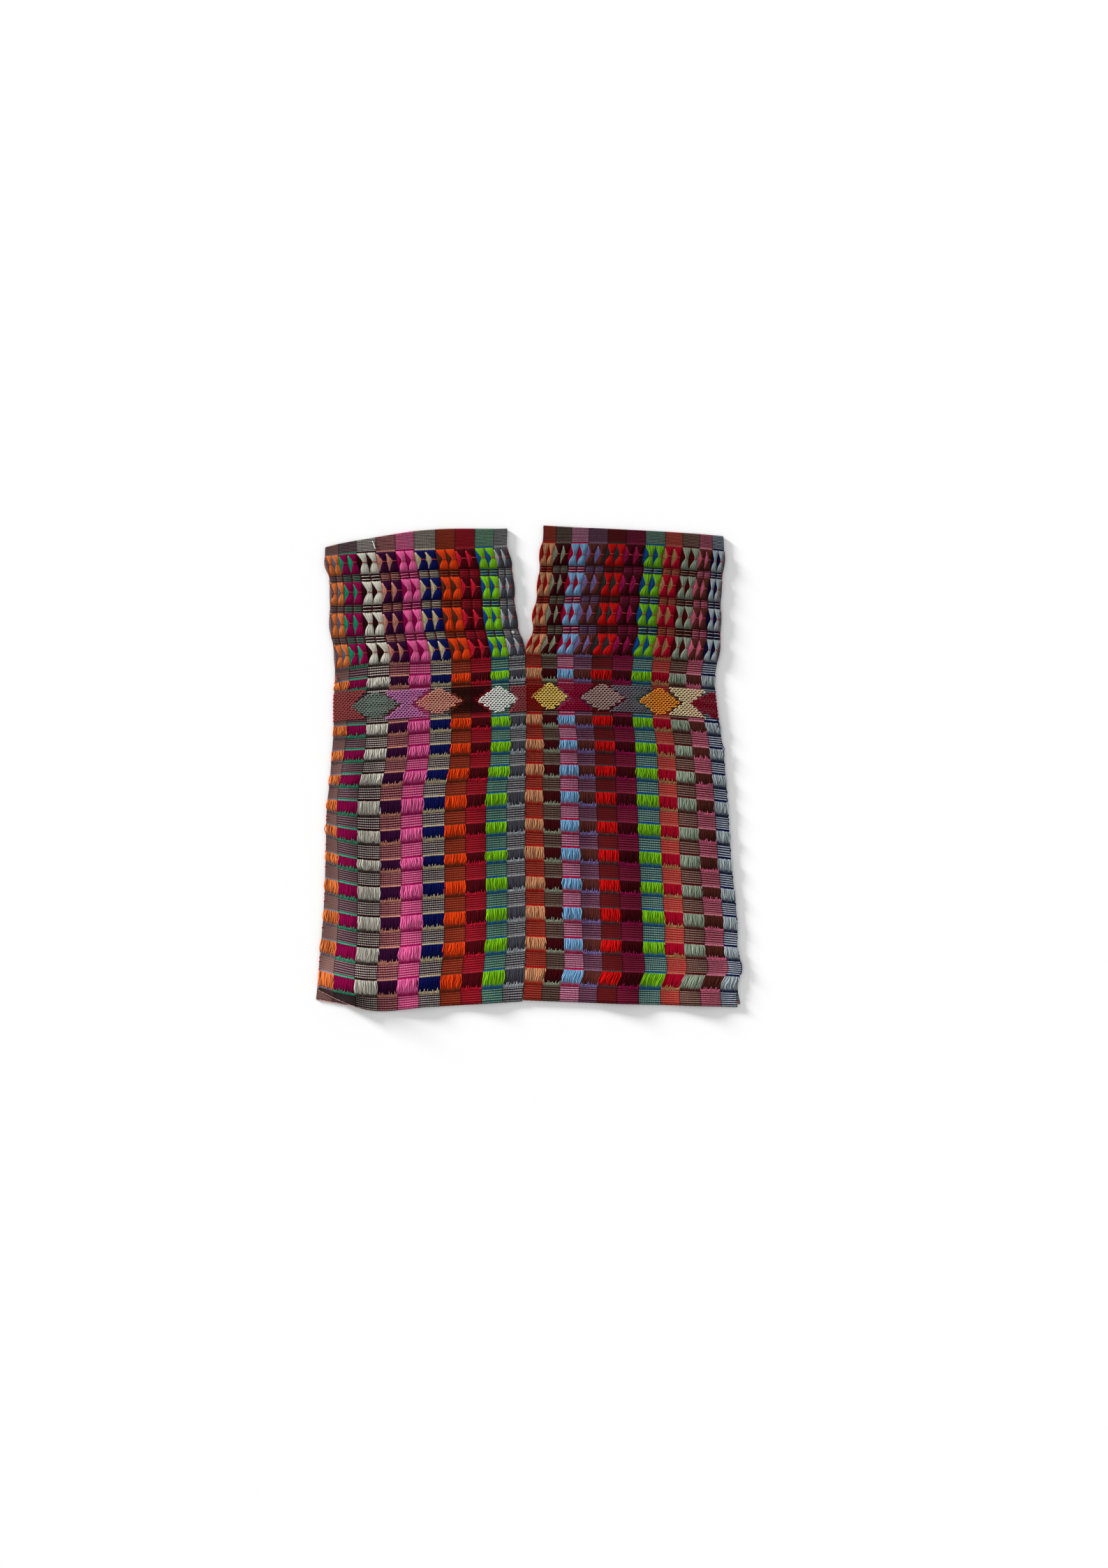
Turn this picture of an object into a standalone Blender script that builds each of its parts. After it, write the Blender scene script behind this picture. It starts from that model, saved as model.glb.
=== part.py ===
"""A sleeveless loom-woven blouse, laid flat with its front up.

Two striped panels hang from the shoulders. Each is one length of cloth, folded at the
shoulder, so it has a front layer, a fold and a back layer that lies flat underneath.
The panels meet at a centre seam below the open V of the neck.
"""

import math
from collections import namedtuple
from dataclasses import dataclass
from functools import lru_cache

import bmesh
import bpy
import numpy as np

# Sizes are in millimetres until a point is placed: across from the left, and down from the top.
# The blouse stands over the origin with the middle of its outline at this place.
MM = 0.001
CENTRE_ACROSS = 304.63
CENTRE_DOWN = 345.7
BACK_WALL = 1.6
FRONT_WALL = 1.6
LAYER_GAP = 0.4
CENTRE_SEAM_GAP = 0.4
INSIDE_INSET = 0.3
BACK_INSET = 1.5
NECK_INSET_FADE = 30.0

# How far each kind of weave stands above the plain wall.
PLAIN_RISE = 0.2
FLOAT_RISE = 1.4
BROCADE_RISE = 1.0
STRIPE_NOTCH = 0.6
SIDE_BULGE = 1.5

# The front layer lies down again within these distances of a seam and of the shoulder.
SEAM_SETTLE = 26.0
SHOULDER_SETTLE = 45.0
FOLD_FADE = 70.0

FOLD_STEPS_OUTSIDE = 4
FOLD_STEPS_INSIDE = 2
POINTS_PER_STRIPE = 2

OUTER_FOLD_RADIUS = (BACK_WALL + LAYER_GAP + FRONT_WALL + PLAIN_RISE) / 2
INNER_FOLD_RADIUS = LAYER_GAP / 2

# Widths of the stripes across the cloth at six levels down the blouse.
STRIPE_LEVELS = (26, 111, 196, 371, 541, 676)
Stripe = namedtuple("Stripe", "colour shoulder yoke chest waist hip hem")

LEFT_STRIPES = (
    Stripe("orange", 19, 20, 21, 13, 21, 23),
    Stripe("wine", 26, 26.5, 26.5, 30, 27.5, 31),
    Stripe("cream", 28, 28.5, 31, 31.5, 32, 31),
    Stripe("purple", 28, 28.5, 28.5, 30.5, 30.5, 29),
    Stripe("pink", 27, 27, 31, 31, 30.5, 30.5),
    Stripe("navy", 31, 29, 30, 31.5, 32, 30.5),
    Stripe("vermilion", 28, 29, 27.5, 29.5, 30, 30),
    Stripe("maroon", 28.5, 29.5, 29, 29, 30, 30),
    Stripe("lime", 27.5, 25, 25.5, 29, 30, 30),
    Stripe("charcoal", 19, 21, 24, 26.5, 26.5, 28.5),
)

RIGHT_STRIPES = (
    Stripe("copper", 18.5, 18.5, 23, 25, 27, 27),
    Stripe("dark wine", 22.5, 21.5, 22, 25, 26, 25.5),
    Stripe("sky blue", 24.5, 23.5, 23.5, 26, 26.5, 28),
    Stripe("brown", 27.5, 26.5, 26, 25.5, 27.5, 26),
    Stripe("red", 26, 29.5, 29, 28.5, 28.5, 28.5),
    Stripe("maroon", 28, 28, 29, 30, 31, 31.5),
    Stripe("lime", 28, 28, 28, 31.5, 31.5, 31.5),
    Stripe("crimson", 25, 25, 26, 26.5, 28, 27.5),
    Stripe("sage", 24, 24, 24, 26.5, 29, 30),
    Stripe("chestnut", 18, 21.5, 22, 25.5, 27, 29),
    Stripe("pale blue", 16, 17.5, 20, 19, 20, 23),
)

# Bands of raised weave, by their top and bottom along each panel's middle stripe.
Band = namedtuple("Band", "name kind left_top left_bottom right_top right_bottom")

BANDS = (
    Band("yoke 1", "tied", 34, 63, 26, 58),
    Band("yoke 2", "tied", 73, 106, 67, 100),
    Band("yoke 3", "tied", 117, 151, 110, 142),
    Band("yoke 4", "tied", 161, 193, 154, 186),
    Band("float 1", "float", 212, 225, 206, 221),
    Band("brocade", "brocade", 233, 268, 227, 266),
    Band("float 2", "float", 276, 291, 272, 287),
    Band("float 3", "float", 312, 327, 308, 323),
    Band("float 4", "float", 348, 364, 344, 360),
    Band("float 5", "float", 387, 406, 382, 400),
    Band("float 6", "float", 429, 446, 424, 441),
    Band("float 7", "float", 471, 486, 464, 482),
    Band("float 8", "float", 510, 529, 507, 524),
    Band("float 9", "float", 554, 573, 548, 567),
    Band("float 10", "float", 598, 618, 593, 611),
    Band("float 11", "float", 644, 665, 638, 658),
)
SHOULDER_LINE = 5
SHOULDER_MIDDLE = 18
HEM_LINE = {"left": 687, "right": 683}

# How far the weft lies below the middle stripe's level, at stations across each panel.
Bow = namedtuple("Bow", "left right left_side left_third left_neck right_neck right_side")
STATIONS = {
    "left": ((0.5, "left_side"), (2.5, "left_third"), (5.5, None), (9.5, "left_neck")),
    "right": ((0.5, "right_neck"), (5.5, None), (10.5, "right_side")),
}

BOWS = (
    Bow(5, 5, 22, 12.5, -2, -6, 8),
    Bow(34, 26, 8, 4, -4, -2, 9),
    Bow(68, 62, 7.5, 5.5, -2.5, -1.5, 8),
    Bow(156, 148, 8, 5.5, -4, 0, 8),
    Bow(193, 186, 10, 4, -7, -3, 8),
    Bow(268, 266, 10, 7, -5, -3, 9),
    Bow(356, 352, 7.5, 6, -6, -4, 12),
    Bow(437, 432, -2, 7, -8.5, -6, 12),
    Bow(563, 557, -4.5, 5, -10.5, -5, 10.5),
    Bow(654, 648, -7.5, 5, -11, -6, 5.5),
)
FRONT_HEM_BOW = Bow(687, 683, -18, 4, -7, -5, 4)
BACK_HEM_BOW = Bow(687, 683, -8, 0, -9, -7, 0)

# The outline, as the place across at distances down.
Edge = namedtuple("Edge", "down across")

LEFT_SIDE = (
    Edge(27, 13), Edge(58, 14), Edge(70, 18), Edge(118, 20), Edge(154, 21), Edge(166, 24),
    Edge(214, 27), Edge(250, 25), Edge(286, 25), Edge(346, 21), Edge(370, 19),
    Edge(394, 16), Edge(454, 14), Edge(526, 12), Edge(586, 8), Edge(634, 4), Edge(664, 4),
)
LEFT_NECK = (
    Edge(3, 274), Edge(36, 274), Edge(58, 280), Edge(82, 282), Edge(106, 284),
    Edge(142, 288), Edge(161, 294), Edge(174, 297), Edge(181, 299.3),
)
RIGHT_NECK = (
    Edge(0, 325), Edge(10, 325), Edge(46, 321), Edge(82, 318), Edge(106, 315),
    Edge(130, 310.5), Edge(154, 309.5), Edge(166, 305), Edge(174, 302), Edge(181, 299.3),
)
CENTRE_SEAM = (
    Edge(181, 299.3), Edge(196, 299.8), Edge(301, 301), Edge(371, 299.5), Edge(461, 299.3), Edge(541, 300),
    Edge(631, 299), Edge(680, 295.5),
)
RIGHT_SIDE = (
    Edge(14, 583), Edge(46, 584), Edge(94, 579), Edge(130, 579), Edge(178, 577),
    Edge(214, 571), Edge(262, 574), Edge(310, 581), Edge(346, 585), Edge(430, 591),
    Edge(478, 594), Edge(538, 600), Edge(574, 603), Edge(610, 604), Edge(622, 607.5),
    Edge(634, 609.5), Edge(646, 605), Edge(664, 601.5), Edge(684, 603),
)

# How far the back layer's hem corners reach out past its inset edge.
LEFT_CORNER = (Edge(600, 0), Edge(634, 1.5), Edge(679, 6))
RIGHT_CORNER = (Edge(640, 0), Edge(666, 4), Edge(684, 6))

# Soft folds of the front layer: a line from top to end, its half width and its rise.
Fold = namedtuple("Fold", "name top_x top_y end_x end_y half_width rise")

FOLDS = (
    Fold("left ridge", 52, 300, 56, 770, 38, 6),
    Fold("left hem curl", -60, 630, 150, 666, 42, 8),
    Fold("pink ripple", 138, 420, 150, 770, 44, 3.5),
    Fold("lime ripple", 232, 330, 244, 770, 40, 3),
    Fold("sky ripple", 352, 250, 360, 640, 42, 3),
    Fold("red ripple", 432, 400, 436, 770, 50, 4.5),
    Fold("sage ripple", 536, 300, 548, 770, 44, 4),
    Fold("left yoke swell", 96, 40, 120, 290, 60, 2.5),
    Fold("right yoke swell", 470, 40, 455, 300, 64, 2.5),
)

# The cross sections of a row of tied bundles, from the bars above to the bars below.
Stage = namedtuple("Stage", "name share half_width shift rise")

BUNDLE_STAGES = (
    Stage("top bar", 0.0, 0.47, 0.0, 0.8),
    Stage("upper belly", 0.22, 0.41, 0.02, 2.4),
    Stage("tie", 0.45, 0.21, 0.17, 1.5),
    Stage("lower belly", 0.72, 0.40, 0.06, 2.4),
    Stage("bottom bar", 1.0, 0.47, 0.0, 0.8),
)
BUNDLES_PER_STRIPE = 2

# The same for a band of floats and for the brocade: the share of the band and of its rise.
FLOAT_PROFILE = ((0.0, 0.0), (0.3, 0.9), (0.72, 1.0), (1.0, 0.0))
BROCADE_PROFILE = ((0.0, 0.0), (0.14, 1.0), (0.86, 1.0), (1.0, 0.0))
BACK_ROWS = (34, 111, 193, 268, 356, 437, 520, 600, 645)
CLOSE_ROWS_FROM = "float 10"


@lru_cache(maxsize=None)
def curve_of(points):
    """The places, heights and slopes of a curve through (place, height) points."""
    places = np.array([point[0] for point in points], float)
    heights = np.array([point[1] for point in points], float)
    return places, heights, np.gradient(heights, places)


def smooth(place, points):
    """The height at a place of a smooth curve through (place, height) points."""
    places, heights, slopes = curve_of(points)
    if place <= places[0]:
        return heights[0] + slopes[0] * (place - places[0])
    if place >= places[-1]:
        return heights[-1] + slopes[-1] * (place - places[-1])
    i = int(np.searchsorted(places, place)) - 1
    gap = places[i + 1] - places[i]
    t = (place - places[i]) / gap
    start = (1 + 2 * t) * (1 - t) ** 2 * heights[i] + t * (1 - t) ** 2 * gap * slopes[i]
    end = t * t * (3 - 2 * t) * heights[i + 1] + t * t * (t - 1) * gap * slopes[i + 1]
    return start + end


def edge_at(y, curves):
    """The place across at a distance down of an edge made of curves that follow on downwards."""
    for curve in curves:
        if y <= curve[-1].down:
            return smooth(y, curve)
    return smooth(y, curves[-1])


def ease(share):
    """A soft step from 0 to 1 as share goes from 0 to 1."""
    t = min(max(share, 0.0), 1.0)
    return t * t * (3 - 2 * t)


def fold_lift(fold, x, y):
    """How far one soft fold raises the front layer at a place."""
    along = np.array([fold.end_x - fold.top_x, fold.end_y - fold.top_y], float)
    length = float(np.hypot(*along))
    along /= length
    offset = np.array([x - fold.top_x, y - fold.top_y])
    run = float(offset @ along)
    aside = abs(float(offset[0] * along[1] - offset[1] * along[0]))
    if aside >= fold.half_width:
        return 0.0
    crest = math.cos(math.pi * aside / fold.half_width / 2) ** 2
    return fold.rise * crest * ease(run / FOLD_FADE) * ease((length - run) / FOLD_FADE)


@dataclass(frozen=True)
class Panel:
    """One loom width of striped cloth, with what places a point of it on the blouse."""

    name: str
    side: str
    stripes: tuple
    start_curves: tuple
    end_curves: tuple
    start_inset: float
    end_inset: float
    colour: tuple

    @property
    def count(self):
        """The number of stripes across."""
        return len(self.stripes)

    def limits(self, band):
        """The band's top and bottom along this panel's middle stripe."""
        return getattr(band, self.side + "_top"), getattr(band, self.side + "_bottom")

    @lru_cache(maxsize=None)
    def sags(self, level, hem_bow):
        """How far the weft of a level lies below it, at this panel's stations."""
        found = []
        for station, column in STATIONS[self.side]:
            known = tuple(
                (getattr(bow, self.side), getattr(bow, column) if column else 0)
                for bow in BOWS + (hem_bow,)
            )
            found.append((station, smooth(level, known)))
        return tuple(found)

    def weft_level(self, stripe, level, hem_bow):
        """The distance down of a weft at a stripe coordinate, from its level at the middle."""
        return level + smooth(stripe, self.sags(level, hem_bow))

    def edges(self, y, back):
        """The places across of the panel's two edges at a distance down."""
        start = edge_at(y, self.start_curves) + self.start_inset
        end = edge_at(y, self.end_curves) - self.end_inset
        if not back:
            return start, end
        neck_inset = BACK_INSET * ease((CENTRE_SEAM[0].down - y) / NECK_INSET_FADE)
        corner = self.corner_reach(y)
        if self.side == "left":
            return start + BACK_INSET - corner, end - neck_inset
        return start + neck_inset, end - BACK_INSET + corner

    def corner_reach(self, y):
        """How far the back layer's hem corner reaches out at a distance down."""
        corner = LEFT_CORNER if self.side == "left" else RIGHT_CORNER
        return max(smooth(y, corner), 0.0) if y > corner[0].down else 0.0

    def across(self, stripe, y, back=False, inset=0.0):
        """The place across of a stripe coordinate at a distance down."""
        widths = [np.interp(y, STRIPE_LEVELS, stripe_row[1:]) for stripe_row in self.stripes]
        borders = np.concatenate([[0.0], np.cumsum(widths)])
        share = np.interp(stripe, range(self.count + 1), borders) / borders[-1]
        start, end = self.edges(y, back)
        return start + inset + share * (end - start - 2 * inset)

    def lift(self, stripe, x, y):
        """How high the front layer stands above the back one at a place."""
        start, end = self.edges(y, False)
        shoulder = self.weft_level(stripe, SHOULDER_LINE, FRONT_HEM_BOW)
        settled = ease(min(x - start, end - x) / SEAM_SETTLE)
        settled *= ease((y - shoulder) / SHOULDER_SETTLE)
        return settled * sum(fold_lift(fold, x, y) for fold in FOLDS)

    def front_point(self, stripe, level, rise, inset=0.0, bulge=0.0):
        """A point of the front layer, rise above its inner face."""
        y = self.weft_level(stripe, level, FRONT_HEM_BOW)
        x = self.across(stripe, y, inset=inset)
        z = BACK_WALL + LAYER_GAP + self.lift(stripe, x, y) + rise
        if stripe == 0 and self.side == "left":
            x -= bulge
        if stripe == self.count and self.side == "right":
            x += bulge
        return x, y, z

    def back_point(self, stripe, level, z, inset=0.0):
        """A point of the back layer at a given height."""
        y = self.weft_level(stripe, level, BACK_HEM_BOW)
        return self.across(stripe, y, back=True, inset=inset), y, z

    def fold_point(self, stripe, angle, radius, middle_z, inset=0.0):
        """A point of the shoulder fold, at an angle above the horizontal."""
        y = self.weft_level(stripe, SHOULDER_LINE, FRONT_HEM_BOW) + OUTER_FOLD_RADIUS
        share_back = 0.5 - angle / math.pi
        front_x = self.across(stripe, y, inset=inset)
        back_x = self.across(stripe, y, back=True, inset=inset)
        x = front_x + share_back * (back_x - front_x)
        return x, y - radius * math.cos(angle), middle_z + radius * math.sin(angle)


def even_stripes(panel, per_stripe):
    """Stripe coordinates evenly across a panel."""
    return [i / per_stripe for i in range(panel.count * per_stripe + 1)]


def block_row(panel, level, rise, bulge=0.0):
    """A row of raised blocks, one a stripe, with a notch between them."""
    row = []
    for stripe in even_stripes(panel, POINTS_PER_STRIPE):
        notch = STRIPE_NOTCH * rise / FLOAT_RISE if stripe == int(stripe) else 0.0
        point = panel.front_point(stripe, level, FRONT_WALL + PLAIN_RISE + rise - notch, bulge=bulge)
        row.append((stripe, point))
    return row


def bundle_row(panel, level, stage):
    """A row of bundles of warp at one stage: a foot, a crest and a foot for each."""
    low = FRONT_WALL + PLAIN_RISE
    row = [(0.0, panel.front_point(0, level, low))]
    for bundle in range(panel.count * BUNDLES_PER_STRIPE):
        middle = (bundle + 0.5 + stage.shift) / BUNDLES_PER_STRIPE
        reach = stage.half_width / BUNDLES_PER_STRIPE
        for stripe, rise in ((middle - reach, 0), (middle, stage.rise), (middle + reach, 0)):
            row.append((stripe, panel.front_point(stripe, level, low + rise)))
    row.append((float(panel.count), panel.front_point(panel.count, level, low)))
    return row


def plain_levels(panel):
    """The level halfway along each plain stretch below the yoke, by the band above it."""
    hem = HEM_LINE[panel.side]
    starts = [panel.limits(band)[1] for band in BANDS]
    ends = [panel.limits(band)[0] for band in BANDS[1:]] + [hem]
    levels = {band.name: (start + end) / 2 for band, start, end in zip(BANDS, starts, ends)}
    return {name: level for name, level in levels.items() if not name.startswith("yoke")}


def front_outside(panel):
    """The rows of the front's outer face, from the shoulder to the hem, with their levels."""
    rows = [(SHOULDER_MIDDLE, block_row(panel, SHOULDER_MIDDLE, 0))]
    plain = plain_levels(panel)
    for band in BANDS:
        top, bottom = panel.limits(band)
        if band.kind == "tied":
            for stage in BUNDLE_STAGES:
                level = top + stage.share * (bottom - top)
                rows.append((level, bundle_row(panel, level, stage)))
            continue
        profile, height = {
            "float": (FLOAT_PROFILE, FLOAT_RISE),
            "brocade": (BROCADE_PROFILE, BROCADE_RISE),
        }[band.kind]
        for share, part in profile:
            level = top + share * (bottom - top)
            bulge = SIDE_BULGE * part if band.kind == "float" else 0.0
            rows.append((level, block_row(panel, level, height * part, bulge)))
        rows.append((plain[band.name], block_row(panel, plain[band.name], 0)))
    hem = HEM_LINE[panel.side]
    rows.append((hem, block_row(panel, hem, 0)))
    return rows


def front_inside(panel):
    """The plain rows of the front's inner face, from the shoulder to the hem."""
    levels = [SHOULDER_MIDDLE]
    plain = plain_levels(panel)
    close = False
    for band in BANDS:
        top, bottom = panel.limits(band)
        close = close or band.name == CLOSE_ROWS_FROM
        shares = [share for share, _ in FLOAT_PROFILE] if close else [0.0]
        levels += [top + share * (bottom - top) for share in shares]
        levels += [plain[band.name]] if close else []
    levels.append(HEM_LINE[panel.side])
    rows = []
    for level in levels:
        stripes = even_stripes(panel, POINTS_PER_STRIPE)
        rows.append((level, [(s, panel.front_point(s, level, 0, INSIDE_INSET)) for s in stripes]))
    return rows


def back_rows(panel, z, inset):
    """The rows of one face of the back layer, from the shoulder to the hem."""
    rows = []
    for level in BACK_ROWS + (HEM_LINE[panel.side],):
        stripes = even_stripes(panel, 1)
        rows.append((level, [(s, panel.back_point(s, level, z, inset)) for s in stripes]))
    return rows


def fold_rows(panel, radius, middle_z, steps, inset):
    """The rows round the shoulder fold, from the front to the back."""
    rows = []
    for step in range(steps + 1):
        angle = math.pi * (0.5 - step / steps)
        stripes = even_stripes(panel, POINTS_PER_STRIPE)
        row = [(s, panel.fold_point(s, angle, radius, middle_z, inset)) for s in stripes]
        rows.append((-SHOULDER_LINE * math.sin(angle), row))
    return rows


def face_sheet(front, fold, back):
    """One face of a panel from the front hem over the shoulder to the back hem."""
    return [(-level, row) for level, row in reversed(front)] + fold + back


def add_rows(bm, rows):
    """The rows with each point made a vertex."""
    made = []
    for run, row in rows:
        vertices = [
            (s, bm.verts.new(((x - CENTRE_ACROSS) * MM, (CENTRE_DOWN - y) * MM, z * MM)))
            for s, (x, y, z) in row
        ]
        made.append((run, vertices))
    return made


def stitch(bm, one, other):
    """Fills between two rows of (place, vertex), which may have unlike numbers of points."""
    i = j = 0
    while i < len(one) - 1 or j < len(other) - 1:
        one_done = i == len(one) - 1
        other_done = j == len(other) - 1
        if one_done or (not other_done and other[j + 1][0] < one[i + 1][0]):
            bm.faces.new((one[i][1], other[j + 1][1], other[j][1]))
            j += 1
        else:
            bm.faces.new((one[i][1], one[i + 1][1], other[j][1]))
            i += 1


def build_panel(panel, collection):
    """The closed wall of one panel, as an object with its own material."""
    outside = face_sheet(
        front_outside(panel),
        fold_rows(panel, OUTER_FOLD_RADIUS, OUTER_FOLD_RADIUS, FOLD_STEPS_OUTSIDE, 0.0),
        back_rows(panel, 0.0, 0.0),
    )
    inside = face_sheet(
        front_inside(panel),
        fold_rows(panel, INNER_FOLD_RADIUS, BACK_WALL + INNER_FOLD_RADIUS, FOLD_STEPS_INSIDE, INSIDE_INSET),
        back_rows(panel, BACK_WALL, INSIDE_INSET),
    )
    bm = bmesh.new()
    outer, inner = add_rows(bm, outside), add_rows(bm, inside)
    for sheet in (outer, inner):
        for (_, one), (_, other) in zip(sheet, sheet[1:]):
            stitch(bm, one, other)
    for end in (0, -1):
        stitch(bm, [(run, row[end][1]) for run, row in outer], [(run, row[end][1]) for run, row in inner])
        stitch(bm, outer[end][1], inner[end][1])
    bmesh.ops.recalc_face_normals(bm, faces=bm.faces)
    mesh = bpy.data.meshes.new(panel.name)
    bm.to_mesh(mesh)
    bm.free()
    mesh.shade_smooth()
    mesh.materials.append(cotton(panel.name + "_cotton", panel.colour))
    collection.objects.link(bpy.data.objects.new(panel.name, mesh))


def cotton(name, colour):
    """A dull woven cotton."""
    material = bpy.data.materials.new(name)
    material.use_nodes = True
    shader = material.node_tree.nodes["Principled BSDF"]
    shader.inputs["Base Color"].default_value = (*colour, 1)
    shader.inputs["Roughness"].default_value = 0.9
    shader.inputs["Metallic"].default_value = 0.0
    return material


PANELS = (
    Panel(
        "left_panel", "left", LEFT_STRIPES, (LEFT_SIDE,), (LEFT_NECK, CENTRE_SEAM),
        0.0, CENTRE_SEAM_GAP / 2, (0.30, 0.06, 0.08),
    ),
    Panel(
        "right_panel", "right", RIGHT_STRIPES, (RIGHT_NECK, CENTRE_SEAM), (RIGHT_SIDE,),
        CENTRE_SEAM_GAP / 2, 0.0, (0.26, 0.05, 0.06),
    ),
)


def main():
    """Clears the scene and builds the blouse."""
    for old in list(bpy.data.objects):
        bpy.data.objects.remove(old, do_unlink=True)
    blouse = bpy.data.collections.new("blouse")
    bpy.context.scene.collection.children.link(blouse)
    for panel in PANELS:
        build_panel(panel, blouse)


main()
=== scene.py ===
"""The look of a sleeveless loom-woven blouse laid flat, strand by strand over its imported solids."""

import logging
import math
from dataclasses import dataclass, field
from enum import Enum
from typing import NamedTuple

import bpy
import numpy as np
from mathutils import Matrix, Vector


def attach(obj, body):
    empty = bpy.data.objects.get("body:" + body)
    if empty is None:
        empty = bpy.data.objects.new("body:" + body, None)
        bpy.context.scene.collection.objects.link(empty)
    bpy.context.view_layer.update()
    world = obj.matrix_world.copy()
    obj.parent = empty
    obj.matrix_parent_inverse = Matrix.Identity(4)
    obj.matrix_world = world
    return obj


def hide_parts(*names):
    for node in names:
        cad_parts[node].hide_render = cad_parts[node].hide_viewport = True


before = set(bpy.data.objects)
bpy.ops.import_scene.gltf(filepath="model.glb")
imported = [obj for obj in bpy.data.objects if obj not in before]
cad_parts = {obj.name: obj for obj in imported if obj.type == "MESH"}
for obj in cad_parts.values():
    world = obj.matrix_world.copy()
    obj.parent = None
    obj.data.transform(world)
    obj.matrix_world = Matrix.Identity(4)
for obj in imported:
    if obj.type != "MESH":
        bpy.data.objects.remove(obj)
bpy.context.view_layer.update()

log = logging.getLogger("blouse")

Colour = tuple[float, float, float]
Array = np.ndarray

# Places are in millimetres, across from the left and down from the top, until they are placed.
MM = 0.001
CENTRE_ACROSS = 304.63
CENTRE_DOWN = 345.7
PHOTO_LEFT = 453.0
PHOTO_TOP = 754.0
BACK_WALL = 1.6
FRONT_WALL = 1.6
LAYER_GAP = 0.4
PLAIN_RISE = 0.2
CENTRE_SEAM_GAP = 0.4
BACK_INSET = 1.5
NECK_INSET_FADE = 30.0
SEAM_SETTLE = 26.0
SHOULDER_SETTLE = 45.0
FOLD_FADE = 70.0
OUTER_FOLD_RADIUS = (BACK_WALL + LAYER_GAP + FRONT_WALL + PLAIN_RISE) / 2
FRONT_SKIN = FRONT_WALL + PLAIN_RISE
SHOULDER_LINE = 5.0
HEM_LEVEL = {"left": 687.0, "right": 683.0}
CORNER_ROLL = 667.0

STRIPE_LEVELS = (26, 111, 196, 371, 541, 676)
STRIPE_WIDTHS = {
    "left": (
        (19, 20, 21, 13, 21, 23), (26, 26.5, 26.5, 30, 27.5, 31), (28, 28.5, 31, 31.5, 32, 31),
        (28, 28.5, 28.5, 30.5, 30.5, 29), (27, 27, 31, 31, 30.5, 30.5), (31, 29, 30, 31.5, 32, 30.5),
        (28, 29, 27.5, 29.5, 30, 30), (28.5, 29.5, 29, 29, 30, 30), (27.5, 25, 25.5, 29, 30, 30),
        (19, 21, 24, 26.5, 26.5, 28.5),
    ),
    "right": (
        (18.5, 18.5, 23, 25, 27, 27), (22.5, 21.5, 22, 25, 26, 25.5), (24.5, 23.5, 23.5, 26, 26.5, 28),
        (27.5, 26.5, 26, 25.5, 27.5, 26), (26, 29.5, 29, 28.5, 28.5, 28.5), (28, 28, 29, 30, 31, 31.5),
        (28, 28, 28, 31.5, 31.5, 31.5), (25, 25, 26, 26.5, 28, 27.5), (24, 24, 24, 26.5, 29, 30),
        (18, 21.5, 22, 25.5, 27, 29), (16, 17.5, 20, 19, 20, 23),
    ),
}


class Weave(Enum):
    """The ways in which the weaver worked a stretch of cloth."""

    PLAIN = "plain"
    TIED = "tied"
    FLOAT = "float"
    BROCADE = "brocade"


class Band(NamedTuple):
    """A raised stretch, by its top and bottom along each panel's middle stripe."""

    name: str
    weave: Weave
    left_top: float
    left_bottom: float
    right_top: float
    right_bottom: float


BANDS = (
    Band("yoke_1", Weave.TIED, 34, 63, 26, 58),
    Band("yoke_2", Weave.TIED, 73, 106, 67, 100),
    Band("yoke_3", Weave.TIED, 117, 151, 110, 142),
    Band("yoke_4", Weave.TIED, 161, 193, 154, 186),
    Band("float_1", Weave.FLOAT, 212, 225, 206, 221),
    Band("brocade", Weave.BROCADE, 233, 268, 227, 266),
    Band("float_2", Weave.FLOAT, 276, 291, 272, 287),
    Band("float_3", Weave.FLOAT, 312, 327, 308, 323),
    Band("float_4", Weave.FLOAT, 348, 364, 344, 360),
    Band("float_5", Weave.FLOAT, 387, 406, 382, 400),
    Band("float_6", Weave.FLOAT, 429, 446, 424, 441),
    Band("float_7", Weave.FLOAT, 471, 486, 464, 482),
    Band("float_8", Weave.FLOAT, 510, 529, 507, 524),
    Band("float_9", Weave.FLOAT, 554, 573, 548, 567),
    Band("float_10", Weave.FLOAT, 598, 618, 593, 611),
    Band("float_11", Weave.FLOAT, 644, 665, 638, 658),
)
LAST_YOKE_ROW = "yoke_4"


class Bow(NamedTuple):
    """How far a weft lies below the middle stripe's level at stations across the panels."""

    left: float
    right: float
    left_side: float
    left_third: float
    left_neck: float
    right_neck: float
    right_side: float


STATIONS = {
    "left": ((0.5, "left_side"), (2.5, "left_third"), (5.5, None), (9.5, "left_neck")),
    "right": ((0.5, "right_neck"), (5.5, None), (10.5, "right_side")),
}
BOWS = (
    Bow(5, 5, 22, 12.5, -2, -6, 8),
    Bow(34, 26, 8, 4, -4, -2, 9),
    Bow(68, 62, 7.5, 5.5, -2.5, -1.5, 8),
    Bow(156, 148, 8, 5.5, -4, 0, 8),
    Bow(193, 186, 10, 4, -7, -3, 8),
    Bow(268, 266, 10, 7, -5, -3, 9),
    Bow(356, 352, 7.5, 6, -6, -4, 12),
    Bow(437, 432, -2, 7, -8.5, -6, 12),
    Bow(563, 557, -4.5, 5, -10.5, -5, 10.5),
    Bow(654, 648, -6, 5, -11, -6, 5.5),
    Bow(666, 660, -5.5, 4.5, -10, -6, 5),
)
FRONT_HEM_BOW = Bow(687, 683, -18, 4, -7, -5, 4)
BACK_HEM_BOW = Bow(687, 683, -8, 0, -9, -7, 0)

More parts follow.
